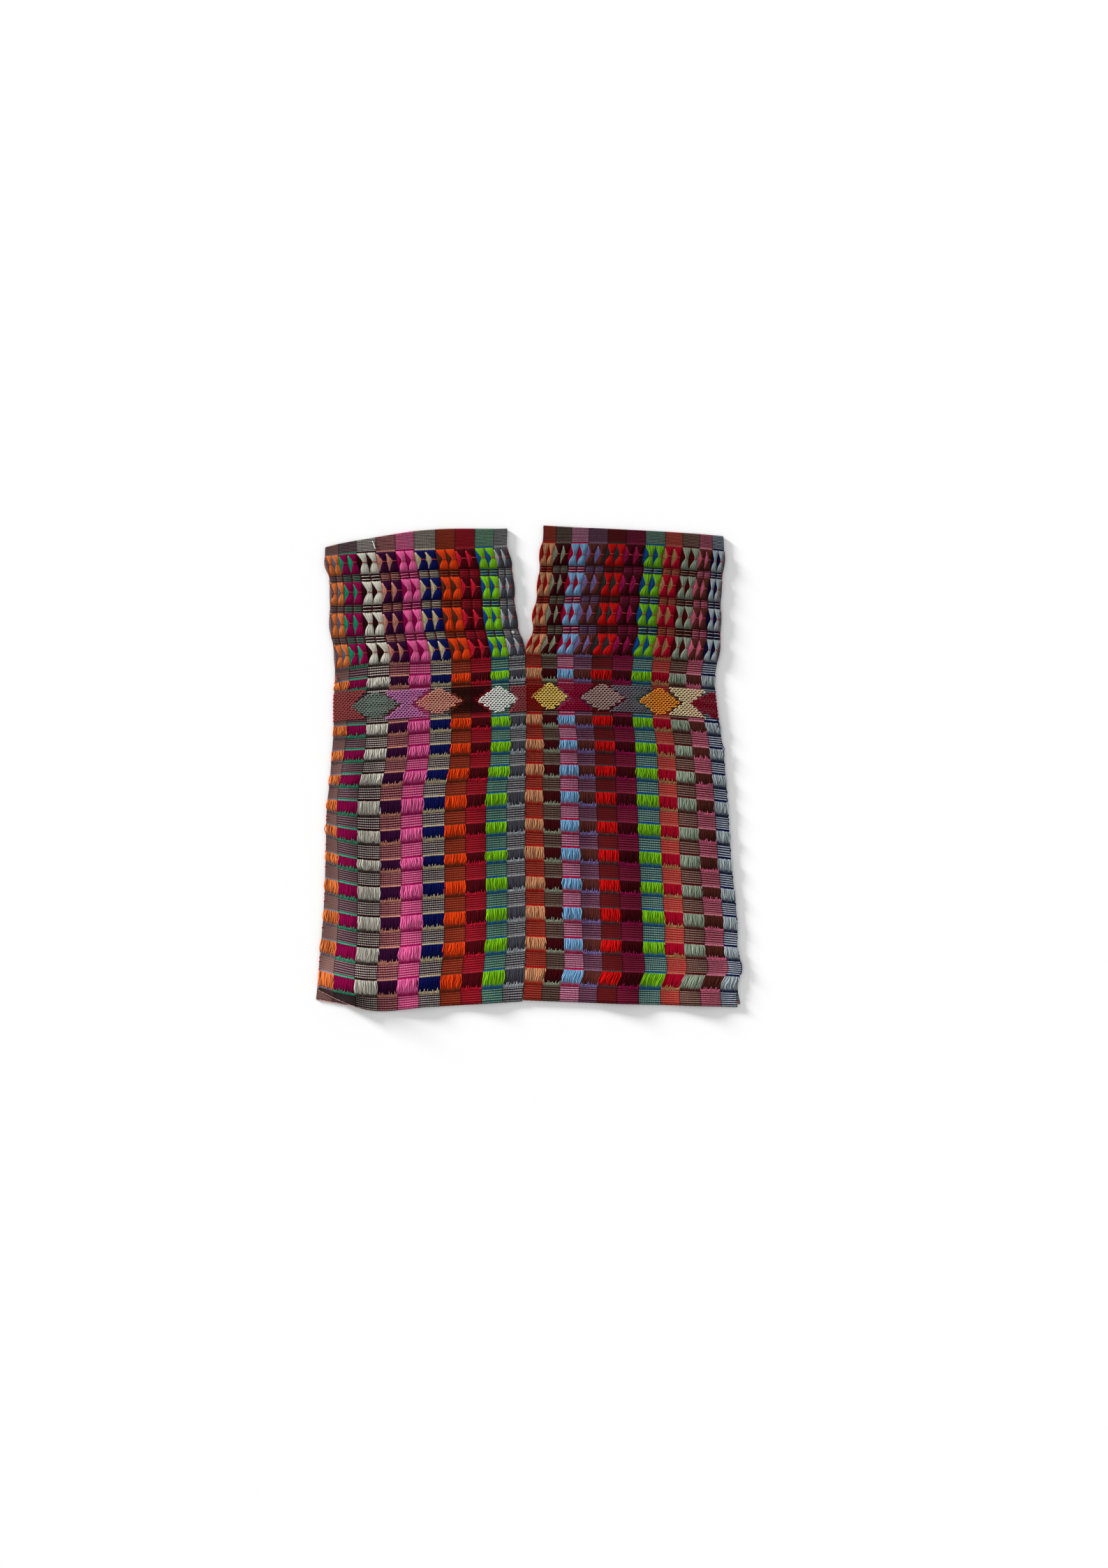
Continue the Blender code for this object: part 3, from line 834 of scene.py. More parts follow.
@dataclass
class StrandMesh:
    """Many strands gathered into one mesh of slim four-sided tubes."""

    name: str
    points: list[Array] = field(default_factory=list)
    quads: list[Array] = field(default_factory=list)
    colours: list[Array] = field(default_factory=list)
    maps: list[Array] = field(default_factory=list)
    total: int = 0

    SIDES = 4
    MAP_STAGGER = 0.37

    def add_one(self, path: Array, radius: Array, colour: Array, flatness: float = 1.0) -> None:
        """Adds one strand, by its points, its radius and its linear colour or colours."""
        self.add(path[None], np.atleast_1d(radius)[None], colour[None], flatness)

    def add(
        self, paths: Array, radius: Array, colour: Array, flatness: float = 1.0, plies: float = 1.0
    ) -> None:
        """Adds strands that have the same number of points.

        Args:
            paths: The strands' points in metres, as (strands, points, 3).
            radius: Their radius in millimetres, for all, for each strand or for each point.
            colour: Linear colours, as (strands, 3) or (strands, points, 3).
            flatness: Their height as a share of their width.
            plies: How strongly their painted ply shade and highlight show.
        """
        n, p, _ = paths.shape
        k = self.SIDES
        tangent = np.gradient(paths, axis=1)
        tangent /= np.maximum(np.linalg.norm(tangent, axis=-1, keepdims=True), 1e-12)
        side = np.cross(tangent, (0.0, 0.0, 1.0))
        side /= np.maximum(np.linalg.norm(side, axis=-1, keepdims=True), 1e-9)
        normal = np.cross(side, tangent)
        radius = np.asarray(radius, float) * MM
        radius = np.broadcast_to(radius.reshape(radius.shape + (1,) * (2 - radius.ndim)), (n, p))
        turn = np.arange(k) * 2 * np.pi / k
        ring = side[:, :, None, :] * np.cos(turn)[None, None, :, None]
        ring = ring + flatness * normal[:, :, None, :] * np.sin(turn)[None, None, :, None]
        corners = paths[:, :, None, :] + radius[:, :, None, None] * ring
        base = self.total + (np.arange(n)[:, None, None] * p + np.arange(p - 1)[None, :, None]) * k
        i, j = np.arange(k), (np.arange(k) + 1) % k
        walls = np.stack([base + i, base + k + i, base + k + j, base + j], axis=-1).reshape(-1, 4)
        first = self.total + np.arange(n)[:, None] * p * k + i
        caps = np.concatenate([first, (first + (p - 1) * k)[:, ::-1]])
        spans = np.linalg.norm(np.diff(paths, axis=1, prepend=paths[:, :1]), axis=-1)
        run = np.cumsum(spans, axis=1) / MM + np.arange(n)[:, None] * self.MAP_STAGGER
        low = np.broadcast_to(run[:, :-1, None], (n, p - 1, k))
        high = np.broadcast_to(run[:, 1:, None], (n, p - 1, k))
        left = np.broadcast_to(i / k, (n, p - 1, k))
        right = left + 1 / k
        wall_map = np.stack([left, low, left, high, right, high, right, low], axis=-1).reshape(-1, 4, 2)
        self.points.append(corners.reshape(-1, 3))
        self.quads += [walls, caps]
        self.maps += [wall_map, np.zeros((len(caps), 4, 2))]
        colour = np.asarray(colour, float)
        if colour.ndim == 2:
            colour = colour[:, None, :]
        colour = np.broadcast_to(colour, (n, p, 3)).reshape(-1, 3)
        colour = np.concatenate([colour, np.full((n * p, 1), plies)], axis=1)
        self.colours.append(np.repeat(colour, k, axis=0))
        self.total += n * p * k

    def build(self, width: LoomWidth, material: bpy.types.Material) -> bpy.types.Object:
        """Makes the object, which rides on the blouse.

        Args:
            width: The loom width that its finish goes with.
            material: Its yarn.

        Returns:
            The object.
        """
        points, quads = np.concatenate(self.points), np.concatenate(self.quads)
        points[:, 2] = np.maximum(points[:, 2], 0.0)
        mesh = mesh_of(self.name, points, quads)
        shades = mesh.color_attributes.new(name="yarn", type="FLOAT_COLOR", domain="POINT")
        shades.data.foreach_set("color", np.concatenate(self.colours).astype(np.float32).ravel())
        uv = mesh.uv_layers.new(name="strand")
        uv.data.foreach_set("uv", np.concatenate(self.maps).astype(np.float32).ravel())
        return piece_of(mesh, width, material)


def mesh_of(name: str, points: Array, quads: Array) -> bpy.types.Mesh:
    """A smooth-shaded mesh of four-cornered faces.

    Args:
        name: The mesh's name.
        points: Its points in metres, as (points, 3).
        quads: The numbers of each face's points, as (faces, 4).

    Returns:
        The mesh.
    """
    mesh = bpy.data.meshes.new(name)
    mesh.vertices.add(len(points))
    mesh.vertices.foreach_set("co", points.astype(np.float32).ravel())
    mesh.loops.add(quads.size)
    mesh.loops.foreach_set("vertex_index", quads.astype(np.int32).ravel())
    mesh.polygons.add(len(quads))
    mesh.polygons.foreach_set("loop_start", np.arange(0, quads.size, 4, dtype=np.int32))
    mesh.update(calc_edges=True)
    mesh.shade_smooth()
    return mesh


def piece_of(
    mesh: bpy.types.Mesh, width: LoomWidth, material: bpy.types.Material
) -> bpy.types.Object:
    """An object of the blouse with its finish and its body.

    Args:
        mesh: The mesh, whose name the object takes.
        width: The loom width that its finish goes with. It is not used.
        material: Its finish.

    Returns:
        The object.
    """
    mesh.materials.append(material)
    piece = bpy.data.objects.new(mesh.name, mesh)
    bpy.context.scene.collection.objects.link(piece)
    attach(piece, "root")
    width.slot
    return piece


class Bed(Enum):
    """What the ground cloth shows or carries in a stretch."""

    SHOULDER = "shoulder"
    PLAIN = "plain"
    ABOVE = "above"
    BELOW = "below"
    BAR = "bar"
    FLOAT = "float"
    TIED = "tied"
    BROCADE = "brocade"


class Stretch(NamedTuple):
    """A stretch of the ground cloth from one level to another, with its number of weft rows."""

    bed: Bed
    start: float
    end: float
    wefts: int


class Course(NamedTuple):
    """A course of cells between two rows of the sheet, with its place on the weave map.

    first and last are how many wefts down the map the course starts and ends.
    """

    ground: Array
    dots: Array
    first: Array
    last: Array


@dataclass
class GroundCloth:
    """The woven ground of one loom width: front, shoulder fold and back in one thin sheet.

    flat_width and flat_length are in metres, and the other lengths in millimetres. above,
    below and below_yoke are how far the under yarn reaches past a raised band. Of two
    shades in a pair, the first is for the ground and the second for its dots, but
    bar_shades are the shares of ground and under yarn in the bars. columns are the stripe
    coordinates of the cells within a stripe, and slits the cells where a bar is open.
    """

    width: LoomWidth
    flat_width: float
    flat_length: float = 1.39
    thickness: float = 1.2
    weft_pitch: float = 3.25
    dots_per_stripe: int = 12
    row_step: float = 4.5
    above: float = 2.3
    below: float = 3.4
    below_yoke: float = 2.4
    bar_wefts: int = 3
    first_level: float = 12.0
    sunk: float = 0.6
    sunk_steps: int = 3
    fold_rows: int = 7
    ground_gain: float = 0.72
    dot_gain: float = 0.95
    under_shades: tuple = (0.55, 1.1)
    bar_shades: tuple = (0.5, 0.03)
    # The back's floats are painted as strands, with painted shade in the gaps between them.
    back_gap_painted_shade: float = 0.4
    # The raised yarn's colour is multiplied by these under slack and taut floats: painted shadow beneath the
    # strands.
    bed_painted_shadow: float = 0.42
    taut_bed_painted_shadow: float = 0.95
    bed_dot_gain: float = 1.5
    bed_contrast: float = 0.8
    # Painted shade under the brocade yarn: its ground, and its dots and their contrast, are darkened.
    brocade_ground_painted_shade: float = 0.78
    brocade_dot_painted_shade: float = 0.8
    # Painted shade in the valleys at each stripe's borders.
    valley_painted_shade: float = 0.5
    shoulder_joined: float = 0.6
    shoulder_blend: float = 0.03
    shoulder_shade: float = 0.92
    shoulder_pitch: float = 2.1
    columns: tuple = (0.0, 0.035, 0.25, 0.465, 0.535, 0.75, 0.965)
    slits: tuple = (0, 3, 6)
    # A flat dark colour for the open slits: painted shadow inside the openings.
    slit_painted_shadow: Colour = (78, 22, 20)
    # The stripe coordinates and colour factors of the painted shade on the rolled left hem corner.
    roll_stripes: tuple = (0.0, 2.0, 3.2)
    roll_painted_shades: tuple = (0.22, 0.3, 1.0)

    def stretches(self) -> list[Stretch]:
        """The stretches from the shoulder to the hem."""
        found: list[Stretch] = []
        last, weave = self.first_level, None
        for band in BANDS:
            top, bottom = self.width.limits(band)
            if weave is None:
                found.append(Stretch(Bed.SHOULDER, last, top - self.above, 0))
                found.append(Stretch(Bed.ABOVE, top - self.above, top, 1))
            elif weave is Weave.TIED and band.weave is Weave.TIED:
                found.append(Stretch(Bed.BAR, last, top, self.bar_wefts))
            else:
                found += self.plain_rows(last, top, weave, band.weave)
            bed = Bed(band.weave.value)
            wefts = round((bottom - top) / self.weft_pitch) if bed is Bed.BROCADE else 0
            found.append(Stretch(bed, top, bottom, wefts))
            last, weave = bottom, band.weave
        return found + self.plain_rows(last, self.width.hem, weave, None)

    def plain_rows(self, start: float, end: float, before: Weave, after: Weave | None) -> list[Stretch]:
        """The stretches of plain cloth between two raised bands, or above the hem.

        Args:
            start: The level where they start.
            end: The level where they end.
            before: The weave of the band above.
            after: The weave of the band below, or None at the hem.

        Returns:
            The stretches.
        """
        found = []
        if before in (Weave.FLOAT, Weave.TIED):
            reach = self.below if before is Weave.FLOAT else self.below_yoke
            found.append(Stretch(Bed.BELOW, start, start + reach, 1))
            start += reach
        stop = end - self.above if after is Weave.FLOAT else end
        found.append(Stretch(Bed.PLAIN, start, stop, max(1, round((stop - start) / self.weft_pitch))))
        if after is Weave.FLOAT:
            found.append(Stretch(Bed.ABOVE, stop, end, 1))
        return found

    def shades(self, bed: Bed, back: bool = False) -> tuple[Array, Array]:
        """The ground and dot colours of each column of cells in a bed, with their alphas.

        Args:
            bed: The bed.
            back: True for the back layer, which shows its floats in the sheet itself.

        Returns:
            Both as (columns, 4). The ground's alpha joins dots into lines, and the dots'
            alpha is how strongly they show.
        """
        grounds, dots = [], []
        for yarns in self.width.yarns:
            ground, dot = yarns.light("ground", self.ground_gain), yarns.light("dots", self.dot_gain)
            under, raised = yarns.light("under"), yarns.light("raised")
            joined, contrast = yarns.joined, yarns.contrast
            if bed is Bed.BELOW or (bed is Bed.ABOVE and yarns.banded):
                ground, dot = (under * shade for shade in self.under_shades)
                joined, contrast = 0.0, 1.0
            elif bed is Bed.BAR:
                ground, contrast = ground * self.bar_shades[0] + under * self.bar_shades[1], 0.0
            # On the back the floats are painted as raised yarn, with painted shade in the gaps between
            # strands.
            elif back and bed in (Bed.FLOAT, Bed.TIED):
                ground, dot, joined, contrast = raised * self.back_gap_painted_shade, raised, 0.0, 1.0
            # Under the floats and bundles the ground is a darker copy of the raised yarn: painted shadow
            # beneath the strands.
            elif bed in (Bed.FLOAT, Bed.TIED):
                ground = raised * (self.bed_painted_shadow if yarns.is_slack else self.taut_bed_painted_shadow)
                dot, contrast = ground * self.bed_dot_gain, self.bed_contrast
            # Under the brocade the ground and dots are darkened: painted shade beneath the motif yarn.
            elif bed is Bed.BROCADE:
                ground = ground * self.brocade_ground_painted_shade
                dot, contrast = dot * self.brocade_dot_painted_shade, contrast * self.brocade_dot_painted_shade
            elif bed is Bed.SHOULDER:
                joined = max(joined, self.shoulder_joined)
                blend = (dot - ground) * self.shoulder_blend
                ground = (ground + blend) * self.shoulder_shade
                dot = (dot - blend) * self.shoulder_shade
            for column in range(len(self.columns)):
                # The sheet is whole at the slits, and their cells take painted shadow.
                slit = bed is Bed.BAR and column in self.slits
                # The border cells of each stripe get painted shade for the valleys between stripes.
                valley = self.valley_painted_shade if column in (0, len(self.columns) - 1) else 1.0
                grounds.append([*(screen_to_light(self.slit_painted_shadow) if slit else ground * valley), joined])
                dots.append([*(dot * valley), 0.0 if slit else contrast])
        return np.array(grounds), np.array(dots)

    def rows_of(self, stretch: Stretch) -> list[tuple[float, float]]:
        """The rows of points that a stretch needs after its first one.

        Args:
            stretch: The stretch.

        Returns:
            Each row's level, and how deep it is sunk below the plain face.
        """
        steps = max(1, math.ceil((stretch.end - stretch.start) / self.row_step))
        sunk = 0.0
        if stretch.bed in (Bed.FLOAT, Bed.TIED):
            sunk, steps = self.sunk, max(steps, self.sunk_steps)
        rows = []
        for i in range(1, steps + 1):
            level = stretch.start + (stretch.end - stretch.start) * i / steps
            rows.append((level, sunk if i < steps else 0.0))
        return rows

    def build(self, material: bpy.types.Material) -> bpy.types.Object:
        """Builds the sheet, which stands for the loom width's solid.

        Args:
            material: The woven ground.

        Returns:
            The object.
        """
        count = self.width.count
        stripe = np.array([i + f for i in range(count) for f in self.columns] + [float(count)])
        front_rows, front_courses = self.layer(stripe, back=False)
        back_rows, back_courses = self.layer(stripe, back=True)
        rows = front_rows[::-1]
        courses = [Course(c.ground, c.dots, c.last, c.first) for c in reversed(front_courses)]
        ground, dots = self.level_shades(Bed.SHOULDER, 0.0)
        arc = math.pi * OUTER_FOLD_RADIUS / self.shoulder_pitch
        start = self.shoulder_wefts(stripe, SHOULDER_LINE, FRONT_HEM_BOW)
        first = front_courses[0].first
        for i in range(self.fold_rows):
            angle = math.pi * (0.5 - i / (self.fold_rows - 1))
            rows.append(self.width.fold(stripe, angle, OUTER_FOLD_RADIUS))
            last = start - arc * i / self.fold_rows
            courses.append(Course(ground, dots, first, last))
            first = last
        courses.append(Course(ground, dots, back_courses[0].first - 1, back_courses[0].first))
        piece = self.sheet_of(stripe, rows + back_rows, courses + back_courses, material)
        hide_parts(self.width.node)
        return piece

    def level_shades(self, bed: Bed, level: float, back: bool = False) -> tuple[Array, Array]:
        """The ground and dot colours of a bed, darkened as the cloth is at a level."""
        share = (*[self.width.level_gain(level)] * 3, 1.0)
        ground, dots = self.shades(bed, back)
        return ground * share, dots * share

    def shoulder_wefts(self, stripe: Array, level: float, bow: Bow) -> Array:
        """How many of the shoulder's wefts a level lies below the yoke's top, at each column."""
        yoke_top = self.width.limits(BANDS[0])[0]
        reach = self.width.weft_down(stripe, level, bow) - self.width.weft_down(stripe, yoke_top, bow)
        return reach / self.shoulder_pitch

    def corner_painted_shade(self, stripe: Array, level: float) -> Array:
        """What each column's colours are multiplied by where the left hem corner rolls under: painted shade
        on the rolled corner.
        """
        shade = np.ones((len(stripe), 4))
        if self.width.is_left and level >= CORNER_ROLL:
            shade[:, :3] = np.interp(stripe, self.roll_stripes, self.roll_painted_shades)[:, None]
        return shade

    def layer(self, stripe: Array, back: bool) -> tuple[list[Array], list[Course]]:
        """The rows of the front or the back layer from the shoulder to its hem.

        Args:
            stripe: The stripe coordinate of each column.
            back: True for the back layer.

        Returns:
            The rows' points, and the courses between them.
        """
        bow = BACK_HEM_BOW if back else FRONT_HEM_BOW
        whole = np.ones(len(stripe))

        def row(level: float, sunk: float) -> Array:
            """The points of one row."""
            if back:
                return self.width.back(stripe, whole * level, sunk)
            return self.width.front(stripe, whole * level, -sunk)

        rows, courses = [row(self.first_level, 0.0)], []
        for stretch in self.stretches():
            ground, dots = self.level_shades(stretch.bed, stretch.start, back)
            above = stretch.start
            for level, sunk in self.rows_of(stretch):
                rows.append(row(level, sunk))
                if stretch.bed is Bed.SHOULDER:
                    wefts = [self.shoulder_wefts(stripe, place, bow) for place in (above, level)]
                elif stretch.wefts > 1 or stretch.bed is Bed.PLAIN:
                    pitch = (stretch.end - stretch.start) / stretch.wefts
                    wefts = [whole * (place - stretch.start) / pitch for place in (above, level)]
                else:
                    wefts = [whole * 0.5] * 2
                # The rolled left hem corner gets painted shade.
                shade = np.ones((1, 4)) if back else self.corner_painted_shade(stripe[:-1], above)
                courses.append(Course(ground * shade, dots * shade, *wefts))
                above = level
        return rows, courses

    def sheet_of(
        self, stripe: Array, rows: list[Array], courses: list[Course], material: bpy.types.Material
    ) -> bpy.types.Object:
        """Joins rows and courses into the sheet.

        Args:
            stripe: The stripe coordinate of each column.
            rows: The rows' points.
            courses: What lies between them, one fewer than the rows.
            material: The woven ground.

        Returns:
            The object.
        """
        r, c = len(rows), len(stripe)
        index = np.arange(r * c).reshape(r, c)
        quads = np.stack([index[:-1, :-1], index[:-1, 1:], index[1:, 1:], index[1:, :-1]], axis=-1)
        mesh = mesh_of(self.width.side + "_ground_cloth", np.concatenate(rows), quads.reshape(-1, 4))
        grounds, dots, first, last = (np.stack(parts) for parts in zip(*courses))
        for name, shade in (("ground", grounds), ("dots", dots)):
            layer = mesh.color_attributes.new(name=name, type="FLOAT_COLOR", domain="CORNER")
            corners = np.repeat(shade.reshape(-1, 4), 4, axis=0).astype(np.float32)
            layer.data.foreach_set("color", corners.ravel())
        along = np.broadcast_to(stripe * self.dots_per_stripe, (r - 1, c))
        corners = ((along[:, :-1], first[:, :-1]), (along[:, 1:], first[:, 1:]))
        corners += ((along[:, 1:], last[:, 1:]), (along[:, :-1], last[:, :-1]))
        weave = np.stack([np.stack(pair, axis=-1) for pair in corners], axis=2)
        uv = mesh.uv_layers.new(name="weave")
        uv.data.foreach_set("uv", weave.astype(np.float32).ravel())
        piece = piece_of(mesh, self.width, material)
        solid = piece.modifiers.new("cloth_thickness", "SOLIDIFY")
        solid.thickness = self.thickness * MM
        solid.offset = -1.0
        return piece


@dataclass
class FloatBands:
    """The bands of loose warp floats on one loom width, and the ragged under yarn below each.

    The pale stripes are slack and wavy, and the dark ones lie taut and close. A range is
    the least and the most that a random number may be, and a scatter how far it spreads.
    tooth_mix is the shares of under and raised yarn in a tooth's colour.
    """

    width: LoomWidth
    seed: int
    pitch: float = 1.5
    radius: float = 0.78
    flatness: float = 0.7
    taut_flatness: float = 0.4
    rise: float = 0.8
    points: int = 8
    spacing_swing: float = 0.4
    swell_range: tuple = (0.6, 1.3)
    wander: float = 0.4
    cross_wander: float = 0.32
    sway: float = 0.6
    flow_places: tuple = (0.0, 0.2, 0.45, 0.7, 1.0)
    flow_swing: float = 2.2
    wave_range: tuple = (0.7, 1.15)
    wave_scatter: float = 0.3
    start_range: tuple = (-0.5, 0.3)
    end_range: tuple = (-0.8, 0.9)
    foot_depth: float = 0.15
    height_scatter: tuple = (0.16, 0.12)
    grain: tuple = (0.06, 0.16)
    foot_painted_shade: float = 0.22
    taut_width: float = 1.2
    thickness_range: tuple = (0.88, 1.08)
    foot_width: float = 0.85
    taut_gain: float = 0.72
    slack_gain: float = 1.12
    tooth_pitch: float = 1.6
    tooth_radius: float = 0.56
    tooth_reach: float = 5.0
    tooth_end: float = 3.2
    yoke_tooth_end: float = 2.2
    tooth_points: int = 4
    tooth_mix: tuple = (0.8, 0.15)
    tooth_rise: tuple = ((0, 0.35, 0.8, 1), (1.1, 1.0, 0.5, -0.2))
    tooth_taper: tuple = ((0, 0.3, 1), (0.2, 0.8, 1.1))
    tooth_shades: tuple = (0.72, 1.05)
    tooth_ply_painted_shade: float = 0.6

    def build(self, material: bpy.types.Material) -> bpy.types.Object:
        """Builds every float as one mesh.

        Args:
            material: The spun yarn.

        Returns:
            The object.
        """
        rng = np.random.default_rng(self.seed)
        mesh = StrandMesh(self.width.side + "_float_bands")
        for band in BANDS:
            if band.weave is Weave.FLOAT:
                for i, yarns in enumerate(self.width.yarns):
                    self.add_floats(mesh, rng, i, yarns, self.width.limits(band))
        return mesh.build(self.width, material)

    def build_teeth(self, material: bpy.types.Material) -> bpy.types.Object:
        """Builds the under yarn that shows below each block and below the yoke.

        Args:
            material: The spun yarn.

        Returns:
            The object.
        """
        rng = np.random.default_rng(self.seed + 1)
        mesh = StrandMesh(self.width.side + "_under_yarns")
        ends = {band.name: self.tooth_end for band in BANDS if band.weave is Weave.FLOAT}
        ends[LAST_YOKE_ROW] = self.yoke_tooth_end
        for band in BANDS:
            if band.name in ends:
                bottom = self.width.limits(band)[1]
                for i, yarns in enumerate(self.width.yarns):
                    self.add_teeth(mesh, rng, i, yarns, bottom, ends[band.name])
        return mesh.build(self.width, material)

    def strands_in(self, stripe: int, pitch: float) -> int:
        """How many strands of a pitch lie side by side in a stripe."""
        return round(float(np.mean(STRIPE_WIDTHS[self.width.side][stripe])) / pitch)

    def add_floats(
        self, mesh: StrandMesh, rng: np.random.Generator, i: int, yarns: StripeYarns,
        limits: tuple[float, float],
    ) -> None:
        """Adds one block of floats.

        Args:
            mesh: Where the strands go.
            rng: The random numbers of this piece.
            i: The stripe.
            yarns: Its yarns.
            limits: The block's top and bottom levels.
        """
        n, slack = self.strands_in(i, self.pitch), yarns.slack
        top, bottom = limits
        t = np.linspace(0, 1, self.points)[None, :]
        arch, wave = np.sin(np.pi * t), np.sin(2 * np.pi * t)
        spacing = rng.uniform(-self.spacing_swing, self.spacing_swing, n) * slack
        q = ((np.arange(n) + 0.5 + spacing) / n)[:, None]
        aside = yarns.swell * rng.uniform(*self.swell_range) * arch * (2 * q - 1)
        aside = aside + rng.normal(0, self.wander, (n, 1)) * arch * slack
        aside = aside + rng.normal(0, self.cross_wander, (n, 1)) * wave * slack
        flows = rng.uniform(-self.flow_swing, self.flow_swing, len(self.flow_places))
        flow = np.interp(q, self.flow_places, flows)
        turns = 2 * np.pi * t * rng.uniform(*self.wave_range)
        ripple = np.sin(turns + flow + rng.normal(0, self.wave_scatter, (n, 1)))
        aside = aside + self.sway * slack * arch**0.5 * ripple
        start = top + rng.uniform(*self.start_range, (n, 1))
        end = bottom + rng.uniform(*self.end_range, (n, 1))
        height = rng.normal(0, self.height_scatter[0], (n, 1))
        height = height + rng.normal(0, self.height_scatter[1], (n, 1)) * wave
        rise = arch**0.6 * (self.rise + height * (0.5 + slack)) - self.foot_depth
        paths = self.width.front(i + q, start + t * (end - start), rise, aside)
        grain = self.grain[0] + self.grain[1] * slack
        shade = 1 + rng.uniform(-grain, grain * 0.8, (n, 1, 1))
        # Painted shade: each float is darker towards its ends, where it dips into the cloth.
        shade = shade - self.foot_painted_shade * (1 - arch[:, :, None] ** 0.5)
        radius = self.radius * (1.0 if yarns.is_slack else self.taut_width)
        radius = radius * rng.uniform(*self.thickness_range, (n, 1))
        radius = radius * (self.foot_width + (1 - self.foot_width) * arch)
        gain = float(np.interp(slack, (0.3, 0.8), (self.taut_gain, self.slack_gain)))
        light = yarns.light("raised", gain * self.width.level_gain(top))
        flatness = self.flatness if yarns.is_slack else self.taut_flatness
        mesh.add(paths, radius, light * shade, flatness, slack)

    def add_teeth(
        self, mesh: StrandMesh, rng: np.random.Generator, i: int, yarns: StripeYarns, bottom: float,
        end: float,
    ) -> None:
        """Adds the under yarn's ragged strands below a raised block.

        Args:
            mesh: Where the strands go.
            rng: The random numbers of this piece.
            i: The stripe.
            yarns: Its yarns.
            bottom: The block's bottom level.
            end: How far below it the strands end.
        """
        n = self.strands_in(i, self.tooth_pitch)
        t = np.linspace(0, 1, self.tooth_points)[None, :]
        spacing = rng.uniform(-self.spacing_swing, self.spacing_swing, n)
        q = ((np.arange(n) + 0.5 + spacing) / n)[:, None]
        start = bottom - self.tooth_reach * rng.uniform(0.0, 1.0, (n, 1)) ** 1.5
        level = start + t * (bottom + end * rng.uniform(0.85, 1.05, (n, 1)) - start)
        rise = np.interp(t, *self.tooth_rise) * rng.uniform(0.85, 1.1, (n, 1))
        paths = self.width.front(i + q, level, rise, rng.normal(0, 0.25, (n, 1)) * (1 - t))
        radius = self.tooth_radius * np.interp(t, *self.tooth_taper) * rng.uniform(0.8, 1.1, (n, 1))
        shade = rng.uniform(*self.tooth_shades, (n, 1, 1)) * np.ones((1, self.tooth_points, 1))
        light = self.tooth_mix[0] * yarns.light("under") + self.tooth_mix[1] * yarns.light("raised")
        light = light * self.width.level_gain(bottom)
        mesh.add(paths, radius, light * shade, plies=self.tooth_ply_painted_shade)


class Reach(NamedTuple):
    """Where a bundle's strands lie at a share of a yoke row, in half stripes from its start."""

    share: float
    start: float
    end: float


BUNDLES = {
    "left": (
        Reach(0, 0.0, 0.9), Reach(0.08, 0.1, 0.93), Reach(0.18, 0.25, 0.97), Reach(0.3, 0.42, 0.98),
        Reach(0.42, 0.57, 0.96), Reach(0.48, 0.57, 0.94), Reach(0.56, 0.48, 0.97), Reach(0.66, 0.34, 1.0),
        Reach(0.78, 0.21, 1.02), Reach(0.9, 0.15, 0.98), Reach(1, 0.18, 0.9),
    ),
    "right": (
        Reach(0, 0.02, 0.98), Reach(0.07, 0.06, 0.96), Reach(0.16, 0.17, 0.92), Reach(0.3, 0.33, 0.83),
        Reach(0.44, 0.44, 0.75), Reach(0.5, 0.43, 0.74), Reach(0.58, 0.3, 0.75), Reach(0.7, 0.13, 0.77),
        Reach(0.82, 0.02, 0.8), Reach(0.92, -0.01, 0.85), Reach(1, 0.06, 0.91),
    ),
}
LENSES = {
    "left": (
        Reach(0.1, 0.02, 0.07), Reach(0.2, -0.02, 0.3), Reach(0.34, -0.05, 0.52), Reach(0.46, -0.06, 0.64),
        Reach(0.58, -0.04, 0.5), Reach(0.7, 0.0, 0.32), Reach(0.8, 0.03, 0.18), Reach(0.9, 0.04, 0.09),
    ),
    "right": (
        Reach(0.1, 0.0, 0.04), Reach(0.2, -0.1, 0.22), Reach(0.31, -0.18, 0.38), Reach(0.44, -0.26, 0.5),
        Reach(0.58, -0.25, 0.34), Reach(0.7, -0.22, 0.14), Reach(0.8, -0.17, 0.0), Reach(0.88, -0.12, -0.06),
    ),
}


